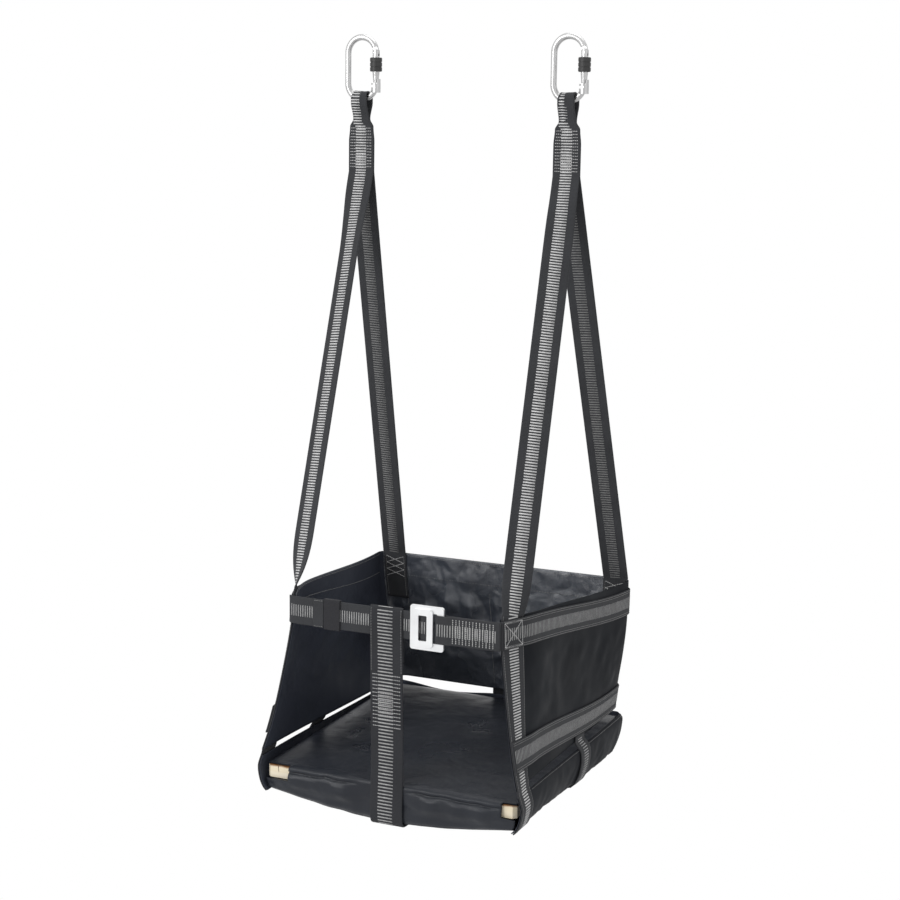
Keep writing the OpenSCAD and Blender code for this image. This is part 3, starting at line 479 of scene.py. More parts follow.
def slab(name, mid, normal, half, across, along, materials):
    # A closed sheet about a grid of points, its two faces meeting along the first and last columns. A second
    # material is for the face away from the normals.
    rows, cols = mid.shape[:2]
    half = np.broadcast_to(np.asarray(half, float), (rows, cols))
    top = mid + normal * half[..., None]
    low = (mid - normal * half[..., None])[:, 1:-1]
    points = np.concatenate([top.reshape(-1, 3), low.reshape(-1, 3)])
    uv = np.stack(np.meshgrid(across, along), axis=-1)
    uvs = np.concatenate([uv.reshape(-1, 2), uv[:, 1:-1].reshape(-1, 2)])
    upper = np.arange(rows * cols).reshape(rows, cols)
    under = upper.copy()
    under[:, 1:-1] = rows * cols + np.arange(rows * (cols - 2)).reshape(rows, cols - 2)
    faces = []
    for i in range(rows - 1):
        for j in range(cols - 1):
            faces.append((upper[i, j], upper[i, j + 1], upper[i + 1, j + 1], upper[i + 1, j]))
            faces.append((under[i + 1, j], under[i + 1, j + 1], under[i, j + 1], under[i, j]))
    for i, turn in ((0, -1), (rows - 1, 1)):
        for j in range(cols - 1):
            ring = [upper[i, j], upper[i, j + 1], under[i, j + 1], under[i, j]][::turn]
            ring = [p for n, p in enumerate(ring) if p != ring[n - 1]]
            if len(ring) > 2:
                faces.append(tuple(ring))
    i, j = rows // 2, cols // 2
    sense = np.dot(np.cross(mid[i, j] - mid[i, j - 1], mid[i, j] - mid[i - 1, j]), normal[i, j])
    step = 1 if sense >= 0 else -1
    slots = [k % 2 if k < 2 * (rows - 1) * (cols - 1) else 0 for k in range(len(faces))]
    faces = [tuple(int(n) for n in f)[::step] for f in faces]
    return meshPiece(name, points, faces, materials, uvs, slots if len(materials) > 1 else None)


def lengthsAlong(line):
    return np.concatenate([[0], np.cumsum(np.linalg.norm(np.diff(line, axis=0), axis=1))])


# A strap's columns as shares of its width, its rounded selvedges and the slightly fuller cord in each
profile = np.array([-0.5, -0.492, -0.475, -0.44, -0.36, -0.21, 0, 0.21, 0.36, 0.44, 0.475, 0.492, 0.5])
selvedge = {"round": 0.03, "cord": 0.12, "cordAt": 0.455, "cordWide": 0.02}
middle = len(profile) // 2


def halfAcross():
    # Half of a strap's thickness at each column, for a thickness of 1
    edge = np.clip((0.5 - np.abs(profile)) / selvedge["round"], 0, 1)
    beside = (np.abs(profile) - selvedge["cordAt"]) / selvedge["cordWide"]
    return 0.5 * np.sqrt(1 - (1 - edge) ** 2) * (1 + selvedge["cord"] * np.exp(-beside ** 2))


def strapRows(centre, across, width, normal):
    mid = centre[:, None] + across[:, None] * (profile * width)[None, :, None]
    return mid, np.repeat(normal[:, None], len(profile), axis=1)


def strapFromGrid(name, mid, normal, thick, material="webbing"):
    along = lengthsAlong(mid[:, middle])
    half = halfAcross()[None, :] * np.broadcast_to(thick, mid.shape[:2])
    piece = slab(name, mid, normal, half, profile * web["width"], along, [material])
    return {"piece": piece, "mid": mid, "normal": normal, "half": half, "along": along}


def strapAlong(name, centre, across, width, thick, material="webbing"):
    # A strap on a line of points, with the way across it
    across = np.broadcast_to(np.array(across, float), centre.shape)
    normal = unit(np.cross(unit(np.gradient(centre, axis=0)), across))
    return strapFromGrid(name, *strapRows(centre, across, width, normal), thick, material)


def finishStrap(strap, body, slotName, *replaced):
    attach(strap["piece"], body)
    if replaced:
        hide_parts(*replaced)


# Threads. Each kind has its yarn, how uneven it is, its number of sides and its seed, and gathers a list of
# places, the way each thread lies, the way it faces, its length, width and height.
threadKinds = {"ladderBars": ("ladder", 0.03, 8, 4), "beltBars": ("beltLadder", 0.03, 8, 7),
               "ladderBarsInShade": ("ladderInShade", 0.03, 8, 8), "tackStitches": ("tackThread", 0.15, 6, 9),
               "webbingStitches": ("webbingThread", 0.12, 6, 5), "clothStitches": ("clothThread", 0.12, 6, 6)}
threads = {kind: [] for kind in threadKinds}
stitches = {"cloth": {"kind": "clothStitches", "pitch": 0.0036, "length": 0.0028, "thick": 0.0009},
            "edge": {"kind": "webbingStitches", "pitch": 0.0042, "length": 0.0030, "thick": 0.0009},
            "tack": {"kind": "tackStitches", "pitch": 0.0030, "length": 0.0017, "thick": 0.0013},
            "cross": {"kind": "tackStitches", "pitch": 0.0032, "length": 0.0021, "thick": 0.0013}}
stripes = {"leg": {"kind": "ladderBars", "pitch": 0.0044, "bar": 0.0022, "share": 0.42},
           # The rear stripe's bars use the darker ladder yarn: painted shade on the rear legs and on the
           # straps' back faces.
           "rear": {"kind": "ladderBarsInShade", "pitch": 0.0044, "bar": 0.0022, "share": 0.40},
           "belt": {"kind": "beltBars", "pitch": 0.0041, "bar": 0.0016, "share": 0.42},
           "band": {"kind": "beltBars", "pitch": 0.0044, "bar": 0.0016, "share": 0.42},
           "crotch": {"kind": "beltBars", "pitch": 0.0054, "bar": 0.0021, "share": 0.45}}
sewing = {"barHeight": 0.0005, "tackReach": 0.43, "zigzagReach": 0.40, "zigzagStep": 0.012, "boxReach": 0.42}


def onStrap(strap, across, along, face):
    # across is a share of the width, from -0.5 to 0.5
    d = np.clip(along, strap["along"][0], strap["along"][-1])
    i = int(np.clip(np.searchsorted(strap["along"], d) - 1, 0, len(strap["along"]) - 2))
    t = (d - strap["along"][i]) / (strap["along"][i + 1] - strap["along"][i])
    j = int(np.clip(np.searchsorted(profile, across) - 1, 0, len(profile) - 2))
    q = (across - profile[j]) / (profile[j + 1] - profile[j])

    def at(grid):
        return lerp(lerp(grid[i, j], grid[i, j + 1], q), lerp(grid[i + 1, j], grid[i + 1, j + 1], q), t)

    normal = unit(at(strap["normal"])) * face
    return at(strap["mid"]) + normal * at(strap["half"]), normal


def layStitches(look, ends):
    # Stitches along a line of (place, normal) pairs
    look = stitches[look]
    for (pa, na), (pb, nb) in zip(ends[:-1], ends[1:]):
        span = np.linalg.norm(pb - pa)
        if span < 1e-6:
            continue
        count = max(1, int(round(span / look["pitch"])))
        for k in range(count):
            t = (k + 0.5) / count
            threads[look["kind"]].append((lerp(pa, pb, t), unit(pb - pa), unit(lerp(na, nb, t)),
                                          look["length"], look["thick"], look["thick"]))


def threadLine(strap, look, ends, face=1):
    # Stitches on a strap, through (share across, distance along) points
    layStitches(look, [onStrap(strap, a, d, face) for a, d in ends])


def threadRows(strap, places, start, stop, face=1):
    # Rows that follow the strap along its length
    count = max(2, int(round((stop - start) / stitches["edge"]["pitch"])))
    for across in places:
        threadLine(strap, "edge", [(across, d) for d in np.linspace(start, stop, count + 1)], face)


def ladder(strap, start, stop, stripe, face=1, shift=lambda d: 0.0, widen=lambda d: 0.0):
    # Bars of pale yarn along a strap; the stripe may shift across it and widen
    look = stripes[stripe]
    for k in range(int((stop - start) / look["pitch"])):
        d = start + (k + 0.5) * look["pitch"]
        c, w = shift(d), look["share"] + widen(d)
        left, right = (onStrap(strap, c + g * w / 2, d, face)[0] for g in (-1, 1))
        centre, normal = onStrap(strap, c, d, face)
        threads[look["kind"]].append((centre, unit(right - left), normal, np.linalg.norm(right - left),
                                      look["bar"], sewing["barHeight"]))


def barTack(strap, start, stop, rows, face=1):
    # Dotted rows across the strap
    for k in range(rows):
        d = lerp(start, stop, (k + 0.5) / rows)
        threadLine(strap, "tack", [(-sewing["tackReach"], d), (sewing["tackReach"], d)], face)


def zigzags(strap, start, stop, face):
    # Two zigzags that cross each other
    count = int(abs(stop - start) / sewing["zigzagStep"])
    for reach in (-sewing["zigzagReach"], sewing["zigzagReach"]):
        ends = [(reach * (-1) ** k, lerp(start, stop, k / count)) for k in range(count + 1)]
        threadLine(strap, "cross", ends, face)


def boxCross(strap, start, stop):
    reach = sewing["boxReach"]
    corners = [(-reach, start), (reach, start), (reach, stop), (-reach, stop), (-reach, start)]
    for line in (corners, [corners[0], corners[2]], [corners[1], corners[3]]):
        threadLine(strap, "cross", line)


# Slings: one webbing each, from the skirt's hem up the wall's front edge, up the front leg, over the
# carabiner's bar and down the rear leg to the inside of the back wall
sling = {"hemShort": 0.012, "straightBy": 0.1, "turnedBy": 0.2, "lateCurve": 2.2, "frontTurnEnd": 0.86,
         "rearTurnEnd": 0.94, "tabTaper": 0.024, "neckDrop": 0.004, "rearInset": 0.004, "singleThin": 0.7,
         "singleFrom": 0.12, "singleEase": 0.08, "stripeShift": 0.20, "stripeWiden": 0.10, "tackRows": 14,
         "zigzagEnd": 0.040}
eye = {"sideRadius": 0.0092, "topRadius": 0.0095, "saddleShare": 0.15, "saddleTop": 0.0253,
       "saddleRadius": 0.020, "pastLevel": 12.0, "narrowFrom": 0.174, "narrowEase": 0.645}
flareEase = smooth(np.linspace(0, 1, 12)[1:])


def legFrames(a, b, normalB, turn, count, turnEnd):
    # Points from a tab down to the rim and the way across the webbing at each
    line = unit(b - a)
    ts = np.linspace(0, 1, count + 1)
    turn = math.radians(turn)
    across = []
    for t in ts:
        straight, turned = smooth(t / sling["straightBy"]), smooth(t / sling["turnedBy"])
        down = unit(lerp(np.array([0, 0, -1.0]), line, straight))
        held = unit(np.array([math.sin(turn) * turned, -math.cos(turn * turned), 0]))
        late = max(t - turnEnd, 0) / (1 - turnEnd)
        want = lerp(lerp(np.array([0, -1.0, 0]), held, straight), normalB, late ** sling["lateCurve"])
        across.append(unit(np.cross(want, down)))
    return lerp(a, b, ts[:, None]), np.array(across)


def eyeRows():
    # Over the carabiner's bar, from front to back, flat-topped and a little narrower there
    rows, normals = [], []
    past = math.radians(eye["pastLevel"])
    for a in np.linspace(math.pi + past, -past, 29):
        w = float(smooth((math.sin(a) - eye["narrowFrom"]) / eye["narrowEase"]))
        x = profile * lerp(web["eyeWidth"], web["eyeTop"], w)
        saddle = eye["saddleTop"] - np.sqrt(eye["saddleRadius"] ** 2 - x ** 2)
        top = lerp(eye["topRadius"], saddle, eye["saddleShare"])
        r = lerp(eye["sideRadius"], top, w) + web["eyeThick"] / 2
        rows.append(np.stack([x, r * math.cos(a), web["rodZ"] + r * math.sin(a)], axis=-1))
        normals.append(np.tile([0, math.cos(a), math.sin(a)], (len(x), 1)))
    return np.array(rows), np.array(normals)


def flatRows(zs, widths, y):
    mid = np.stack([np.outer(widths, profile), np.repeat(np.asarray(y)[:, None], len(profile), 1),
                    np.repeat(zs[:, None], len(profile), 1)], axis=-1)
    return mid, np.tile([0, -1.0, 0], mid.shape[:2] + (1,))


def turnedBack(rows):
    # The same rows on the sling's rear layer, in the order they run down
    flip = np.array([1, -1, 1])
    return (rows[0] * flip)[::-1], (rows[1] * flip)[::-1]


def slingParts():
    # The left sling's rows of points from end to end, part by part
    w, th, gap = web["width"], web["thick"], tub["seam"]
    near = -(th + gap) / 2
    # Front edge of the wall, from the hem up
    vs = np.concatenate([np.linspace(tub["hemV"] - sling["hemShort"], 1, 32)[:-1], np.linspace(1, 0, 60)])
    sideLength = np.linalg.norm(tubBase(1, vs) - tubBase(0, vs), axis=-1)
    edge = onTub((0.5 - profile)[None, :] * w / sideLength[:, None], vs[:, None], overWall + th / 2)
    # Front leg, from the rim up to the tab
    centre, across = legFrames(np.array([-web["slingX"], near, web["tabFootZ"]]),
                               *onTub(edgeShare / 2, 0.0, overWall + th / 2), -web["legTurn"], 160,
                               sling["frontTurnEnd"])
    centre, across = centre[::-1][1:], across[::-1][1:]
    front = strapRows(centre, across, w, unit(np.cross(across, unit(np.gradient(centre, axis=0)))))
    # Tab, then the flare where the webbing is folded to the eye's width, then the neck and the eye
    tabZ = np.linspace(web["tabFootZ"], web["tabTopZ"], 30)[1:]
    taper = smooth((tabZ - web["tabTopZ"] + sling["tabTaper"]) / sling["tabTaper"])
    tab = flatRows(tabZ, lerp(w, web["tabTopWidth"], taper), np.full(len(tabZ), near))
    flareZ = np.linspace(web["tabTopZ"], web["flareZ"], 12)[1:]
    flareY = lerp(near, -(web["eyeThick"] + gap) / 2, flareEase)
    flare = flatRows(flareZ, lerp(web["tabTopWidth"], web["eyeWidth"], flareEase), flareY)
    neckZ = np.linspace(web["flareZ"], web["rodZ"] - sling["neckDrop"], 13)[1:-1]
    neckY = lerp(flareY[-1], -(eye["sideRadius"] + web["eyeThick"] / 2), smooth(np.linspace(0, 1, 13)[1:-1]))
    neck = flatRows(neckZ, np.full(len(neckZ), web["eyeWidth"]), neckY)
    upper = [tab, flare, neck, eyeRows(), turnedBack(neck), turnedBack(flare), turnedBack(tab)]
    upper = [(mid - np.array([web["slingX"], 0, 0]), way) for mid, way in upper]
    # Rear leg and its sewn end inside the back wall
    rearS = 1 + (w / 2 + sling["rearInset"]) / tub["rimRear"]
    inside = -2 * gap - th / 2
    foot, out = onTub(rearS, 0.0, inside)
    centre, across = legFrames(np.array([-web["slingX"], -near, web["tabFootZ"]]), foot, -out, 0, 110,
                               sling["rearTurnEnd"])
    normal = unit(np.cross(unit(np.gradient(centre, axis=0)), across))
    rear = strapRows(centre, across, w, normal * np.sign(normal[:, 1:2]))
    sewnV = np.linspace(0, web["rearSewn"] / wallHeight(1), 22)[1:]
    sewn = onTub(*np.meshgrid(rearS + profile * w / tub["rimRear"], sewnV), inside)
    return [edge, front] + upper + [rear, sewn]


def makeSling(side):
    parts, th = slingParts(), web["thick"]
    mid = np.concatenate([p[0] for p in parts])
    normal = unit(np.concatenate([p[1] for p in parts]))
    counts = np.cumsum([0] + [len(p[0]) for p in parts])
    if side == "right":
        mid, normal = mid * np.array([-1, 1, 1]), normal * np.array([-1, 1, 1])
    thick = np.full(mid.shape[:2], th)
    thick[counts[3]:counts[4]] = lerp(th, web["eyeThick"], flareEase)[:, None]
    thick[counts[7]:counts[8]] = lerp(web["eyeThick"], th, flareEase)[:, None]
    # The folded-over half of the eye is the fuller one
    single = smooth((profile - sling["singleFrom"]) / sling["singleEase"])
    thick[counts[4]:counts[7]] = web["eyeThick"] * lerp(1, sling["singleThin"], single)[None, :]
    strap = strapFromGrid("slingWebbing" + side.title(), mid, normal, thick)
    d = strap["along"]
    starts = {"rim": 1, "tabFoot": 2, "tabTop": 3, "neck": 4, "neckBack": 7, "rearTabTop": 8,
              "rearTabFoot": 9, "rearRim": 10}
    marks = {name: d[counts[k]] for name, k in starts.items()}
    shift = sling["stripeShift"] * (-1 if side == "left" else 1)

    def narrowing(x):
        into = smooth((x - marks["tabTop"] + 0.004) / (marks["neck"] - marks["tabTop"]))
        away = smooth((x - marks["neckBack"]) / (marks["rearTabTop"] - marks["neckBack"]))
        return float(into - away)

    ladder(strap, 0.010, d[-1] - 0.004, "leg", 1, lambda x: shift * narrowing(x),
           lambda x: sling["stripeWiden"] * narrowing(x))
    # The rear leg's front face and the front leg's back face get their bars in the darker ladder yarn, a
    # painted shade.
    ladder(strap, marks["rearTabFoot"] + 0.004, marks["rearRim"] - 0.003, "rear", -1)
    ladder(strap, marks["rim"] + 0.004, marks["tabFoot"] - 0.004, "rear", -1)
    threadRows(strap, (-0.45, 0.45), 0.006, marks["rim"] - 0.002)
    barTack(strap, marks["tabFoot"] + 0.003, marks["tabTop"] - 0.001, sling["tackRows"])
    barTack(strap, marks["rearTabTop"] + 0.001, marks["rearTabFoot"] - 0.003, sling["tackRows"])
    zigzags(strap, marks["rearRim"] + 0.003, marks["rearRim"] + sling["zigzagEnd"], -1)
    threadRows(strap, (-0.42, 0.42), marks["rearRim"] + 0.003, d[-1] - 0.004, -1)
    finishStrap(strap, "seat", "webbing", *(n + "_" + side for n in ("sling_eye", "front_leg", "rear_leg",
                                                                   "edge_webbing")))


makeSling("left")
makeSling("right")
print("slings made")


# Bands round the walls
def bandStops(corner):
    # Places round the tub, closer together at its rear corners
    edges, counts = [0, 0.9, 1.1, 1.9, 2.1, 3], [90, corner, 90, corner, 90]
    return np.unique(np.concatenate([np.linspace(a, b, n) for a, b, n in zip(edges, edges[1:], counts)]))


def makeBand(name, node, frontDrop, rearDrop):
    s = bandStops(50)
    ride = lerp(overWeb, overWall, smooth((fromFront(s) - edgeShare - 0.01) / 0.1))
    drop = between(s, frontDrop, rearDrop)[:, None] + (profile + 0.5)[None, :] * web["width"]
    v = drop / wallHeight(s)[:, None]
    strap = strapFromGrid(name, *onTub(s[:, None], v, ride[:, None] + web["thick"] / 2), web["thick"])
    end = strap["along"][-1]
    ladder(strap, 0.002, end - 0.002, "band")
    threadRows(strap, (-0.455, -0.385, 0.385, 0.455), 0.002, end - 0.002)
    finishStrap(strap, "seat", "webbing", node)
    return strap


rimBand = makeBand("rimBandWebbing", "rim_band", tub["rimMargin"], tub["rimRearMargin"])
makeBand("lowerBandWebbing", "lower_band", rimFrontZ - footFrontZ - tub["lowBand"] - web["width"],
         rimRearZ - footRearZ - tub["lowBandRear"] - web["width"])
for start, stop in ((0.004, 0.042), (rimBand["along"][-1] - 0.042, rimBand["along"][-1] - 0.004)):
    boxCross(rimBand, start, stop)
print("bands made")


# Walls, skirt and pocket: heights of the creases, and how far they keep from what holds the cloth
cloth = {"backCrease": 0.0070, "sideCrease": 0.0042, "skirtCrease": 0.0016, "pocketCrease": 0.0026,
         "mostOut": 0.003, "keepOff": 0.003, "ease": 0.022, "holdEase": 0.06, "cornerEase": 0.1,
         "legKeepOff": 0.052, "legEase": 0.02, "crumpleSize": 0.070, "around": 0.45, "edgeGap": 0.0012,
         "thinner": 0.0001, "flatAcross": 1.02, "flatDown": 1.03}


def wrinkle(points, scale, seed):
    away = Vector((seed, seed * 1.7, -seed))
    waves = [noise.noise(Vector(p) * scale + away) for p in points.reshape(-1, 3)]
    return np.array(waves).reshape(points.shape[:-1])


def crumple(u, w, size, seed):
    # Sharp folds of a stiff cloth, about -1 to 1: triangle waves in several directions, bent a little
    rng = np.random.default_rng(seed)
    total = np.zeros(np.shape(u))
    for k in range(6):
        a = math.pi * (k + rng.uniform(-0.3, 0.3)) / 6
        p, q = u * math.cos(a) + w * math.sin(a), w * math.cos(a) - u * math.sin(a)
        wave = p / (size * rng.uniform(0.7, 1.9))
        bend = 0.35 * np.sin(q / (size * rng.uniform(0.35, 0.7)) + rng.uniform(0, 6))
        wave = wave + bend + rng.uniform(0, 1)
        total = total + (np.abs(wave % 1 * 2 - 1) * 2 - 1) * rng.uniform(0.4, 1)
    return total / 2.2


def wallShape(s, v):
    # Middle of the walls' cloth and the way out of it, creased where no strap holds it
    s, v = np.broadcast_arrays(np.asarray(s, float), np.asarray(v, float))
    base, normal = onTub(s, v, tub["cloth"] / 2)
    drop, rise = v * wallHeight(s), (1 - v) * wallHeight(s)
    clear = web["width"] + cloth["keepOff"]
    below = smooth((drop - between(s, tub["rimMargin"], tub["rimRearMargin"]) - clear) / cloth["ease"])
    above = smooth((rise - between(s, tub["lowBand"], tub["lowBandRear"]) - clear) / cloth["ease"])
    held = smooth((fromFront(s) - edgeShare) / cloth["holdEase"])
    corner = smooth(np.minimum(np.abs(s - 1), np.abs(s - 2)) / cloth["cornerEase"])
    back = atBack(s).astype(float)
    beside = np.minimum(s - 1, 2 - s) * tub["rimRear"] - cloth["legKeepOff"]
    legs = 1 - back * smooth(1 - beside / cloth["legEase"]) \
        * smooth(1 - (drop - web["rearSewn"]) / cloth["legEase"])
    soft = wrinkle(base * np.array([1, 1, 0.55]), 13, 3) + 0.4 * wrinkle(base, 34, 8)
    sharp = crumple(s * cloth["around"], drop, cloth["crumpleSize"], 5)
    push = lerp(cloth["sideCrease"] * (soft + 0.25 * sharp), cloth["backCrease"] * sharp, back)
    push = np.minimum(push, cloth["mostOut"])
    free = below * above * held * corner
    inward = -np.abs(push) * 0.5 * back * smooth(drop / 0.006) * legs * corner * above * (1 - below)
    return base + normal * (push * free * legs + inward)[..., None], normal


def finishCloth(name, node, mid, normal, down, materials):
    across = lengthsAlong(mid[len(mid) // 2])
    half = np.full(len(across), (tub["cloth"] - cloth["thinner"]) / 2)
    half[0] = half[-1] = 0
    piece = slab(name, mid, normal, half, across, down, materials)
    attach(piece, "seat")
    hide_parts(node)


def makeWall(name, node, s0, s1, cols, rows, inside):
    s, gap = np.linspace(s0, s1, cols), cloth["edgeGap"]
    s = np.concatenate([[s0, s0 + gap], s[1:-1], [s1 - gap, s1]])
    v = np.linspace(0, 1, rows)
    mid, normal = wallShape(*np.meshgrid(s, v))
    down = v * float(max(wallHeight(s0), wallHeight(s1)))
    finishCloth(name, node, mid, normal, down, ["wall", inside])


# The side walls' inside faces take a lighter cloth, painted light against the shade inside the tub.
makeWall("sideWallLeft", "side_wall_left", 0, 1, 110, 60, "paintedLitInside")
# The back wall's inside face takes the lightest cloth, a painted light.
makeWall("wallBack", "back_wall", 1, 2, 210, 100, "paintedLitBackInside")
makeWall("sideWallRight", "side_wall_right", 2, 3, 110, 60, "paintedLitInside")

# Rows of stitches on the walls: drops below the rim, and half distances between two rows down a strip
wallRows = {"rimDrops": (0.005, 0.041), "strip": 0.024, "stripTop": 0.24, "stripFoot": 0.96, "leg": 0.020,
            "legTop": 0.36, "legFoot": 0.66}


def clothRow(shape, points, face):
    # Stitches over the walls or the skirt through (s, v) points
    mid, normal = shape(*np.array(points, float).T)
    layStitches("cloth", [(p + n * face * (tub["cloth"] / 2), n * face) for p, n in zip(mid, normal)])


def stitchWalls():
    # Inside the back wall two rows under the rim, a pair down its middle and a pair over each rear leg's end,
    # then two rows along the rim of each side wall
    width = tub["rimRear"]
    across = np.linspace(1.02, 1.98, 90)
    for drop in wallRows["rimDrops"]:
        clothRow(wallShape, [(s, drop / wallHeight(s)) for s in across], -1)
    left = 1 + (web["width"] / 2 + sling["rearInset"]) / width
    strip = np.linspace(wallRows["stripTop"], wallRows["stripFoot"], 60)
    leg = np.linspace(wallRows["legTop"], wallRows["legFoot"], 24)
    for place, reach, vs in ((1.5, "strip", strip), (left, "leg", leg), (3 - left, "leg", leg)):
        for x in (-wallRows[reach], wallRows[reach]):
            clothRow(wallShape, [(place + x / width, v) for v in vs], -1)
    for start in (0, 3):
        for first, high, low in ((0.004, 0.004, 0.005), (0.16, 0.026, 0.038)):
            stops = abs(start - np.linspace(first, 0.97, 60))
            clothRow(wallShape, [(s, float(between(s, high, low) / wallHeight(s))) for s in stops], -1)


stitchWalls()
print("walls made")


def skirtShape(s, v):
    s, v = np.broadcast_arrays(np.asarray(s, float), np.asarray(v, float))
    base, normal = onTub(s, v, tub["cloth"] / 2)
    low = smooth((v - slitV(s)) / 0.25)
    held = smooth((fromFront(s) - edgeShare - 0.02) / 0.08)
    push = crumple(s * cloth["around"], v * 0.06, 0.045, 9) * low * held * cloth["skirtCrease"]
    return base - normal * np.abs(push)[..., None], normal


def makeSkirt():
    gap = cloth["edgeGap"]
    s = np.concatenate([[0, gap], bandStops(40)[1:-1], [3 - gap, 3]])
    t = np.linspace(0, 1, 22)
    mid, normal = skirtShape(np.tile(s, (len(t), 1)), lerp(slitV(s)[None, :], tub["hemV"], t[:, None]))
    down = t * float(footRearZ - hemRearZ - tub["slit"])
    # The skirt's inside face takes the lighter inside cloth, a painted light.
    finishCloth("seatSkirt", "seat_skirt", mid, normal, down, ["skirt", "paintedLitInside"])
    for share in (0.05, 0.93):
        row = [(s, lerp(float(slitV(s)), tub["hemV"], share)) for s in np.linspace(0.11, 2.89, 300)]
        clothRow(skirtShape, row, 1)


makeSkirt()

crotch = {"width": 0.056, "shift": 0.010, "tackDrop": 0.040, "turn": 0.014, "tackTop": -0.970,
          "tackFoot": -1.057, "loopDrop": 0.008, "crown": 0.001, "ladderUp": 0.05, "tackRows": 15}
pocket = {"bareLeft": 0.042, "bareRight": 0.022, "sagEdge": 0.020, "sagMid": 0.022, "boardCut": 0.0056,
          "frontFold": 1.6, "drawIn": 0.006, "lip": 0.0042, "lipAt": 0.0052, "lipWide": 0.0016,
          "lipWave": 0.0016, "puff": 0.0028, "puffFold": 0.0026, "ripple": 0.0024, "rippleWave": 0.0035,
          "slack": 0.0003}


def pocketRing(x, front, rear, top, under):
    # Places round the board at one x, each with its way outwards, from the top's front edge back and under
    half, fold = tub["boardWidth"] / 2, pocket["frontFold"]
    drop = pocket["sagEdge"] + pocket["sagMid"] * math.cos(math.pi / 2 * x / half)
    ring = [(front + y, top, 0, 1) for y in np.linspace(0.004, 0.033, 26)]
    ring += [(lerp(front, rear, t), top, 0, 1) for t in np.linspace(0.08, 0.98, 56)]
    ring += [(rear, top - 0.001, 0.7, 0.7), (rear, lerp(top, under, 0.5), 1, 0), (rear, under, 1, -0.5)]
    ring += [(lerp(rear, front, t), under - drop * math.sin(math.pi / 2 * min(2 * t, 1)) ** 0.35, 0, -1)
             for t in np.linspace(0.03, 0.97, 50)]
    ring += [(front + 0.002, under - drop + 0.003, -0.6, -0.6), (front, under - drop * 0.78, -1.4, 0)]
    ring += [(front, under - drop * k, -fold, 0) for k in np.linspace(0.68, 0.04, 12)]
    ring += [(front, lerp(top, under, k), -fold, 0) for k in np.linspace(0.95, 0.2, 12)]
    return ring + [(front, top - 0.003, -1.5, 0.1), (front, top, -1, 0.8), (front + 0.003, top, -0.3, 1)]


def pocketPush(outer, front, top, under):
    # Creases press the free cloth inwards, so they never reach the straps round it
    x, y, z = outer.T
    press = crumple(x, y - z, 0.050, 21) * 0.5 + 0.5
    press = press * smooth((under - z) / 0.012) * cloth["pocketCrease"]
    atFront = smooth(1 - (y - front) / 0.01)
    push = np.column_stack([np.zeros(len(y)), press * atFront, press * (1 - atFront)])
    # The front fold puffs out beside the crotch strap and ripples along its upper edge
    half = tub["boardWidth"] / 2
    beside = smooth((np.abs(x + crotch["shift"]) - 0.036) / 0.03) * smooth((half - np.abs(x)) / 0.05)
    wave = crumple(x, 0 * x, 0.036, 33)
    depth = top - z + pocket["lipWave"] * wave
    bulge = pocket["lip"] * (1 - np.exp(-((depth - pocket["lipAt"]) / pocket["lipWide"]) ** 2))
    puff = pocket["puff"] + pocket["puffFold"] * crumple(x, z * 0.7, 0.050, 31)
    bulge += smooth((depth - 0.006) / 0.009) * puff
    bulge *= smooth((z - under + 0.024) / 0.02)
    push[:, 1] -= bulge * beside * smooth((front - y + 0.001) / 0.002)
    back = y - front - pocket["rippleWave"] * wave
    roll = smooth(back / 0.008 + 0.3) * smooth((0.018 - back) / 0.0045) * (0.75 + 0.25 * wave)
    push[:, 2] += pocket["ripple"] * roll * beside * (z > top - 0.001)
    return push


def makePocket():
    half, wall, slack = tub["boardWidth"] / 2, tub["pocketCloth"], pocket["slack"]
    front, rear, top, under = boardFrontY - slack, boardRearY + slack, boardTop + slack, boardUnder - slack
    xs = np.linspace(-half, half, 120)
    outer, inner = [], []
    for x in xs:
        for y, z, oy, oz in pocketRing(x, front, rear, top, under):
            if y < front + 0.0035 and z > under:
                bare = pocket["bareLeft"] if x < 0 else pocket["bareRight"]
                k = 1 - bare * float(smooth((abs(x) / half - 0.7) / 0.3)) / half
            elif z < under - 0.001:
                deep = min((under - z) / pocket["sagEdge"], 0.98)
                k = 1 - pocket["drawIn"] * (1 - math.sqrt(1 - deep * deep)) / half
            else:
                k = 1 - pocket["boardCut"] / half if y > rear - 0.001 else 1
            outer.append((x * k, y + oy * wall, z + oz * wall))
            inner.append((x * k, y + oy * wall * 0.1, z + oz * wall * 0.1))
    outer, inner = np.array(outer), np.array(inner)
    push = pocketPush(outer, front, top, under)
    outer, inner = outer + push, inner + push
    count, cols = len(xs), len(outer) // len(xs)
    last, end = len(outer), (count - 1) * cols
    faces = []
    for i in range(0, end, cols):
        for j in range(cols):
            k = (j + 1) % cols
            faces.append((i + j, i + cols + j, i + cols + k, i + k))
            faces.append((last + i + j, last + i + k, last + i + cols + k, last + i + cols + j))
    for j in range(cols):
        k = (j + 1) % cols
        faces.append((j, k, last + k, last + j))
        faces.append((end + k, end + j, last + end + j, last + end + k))
    points = np.concatenate([outer, inner])
    piece = meshPiece("seatPocket", points, faces, ["pocket"], points[:, :2])
    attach(piece, "seat")
    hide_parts("seat_pocket")
    grid = outer.reshape(count, cols, 3)
    grid = np.concatenate([grid, grid[:, :1]], axis=1)


makePocket()
print("pocket made")

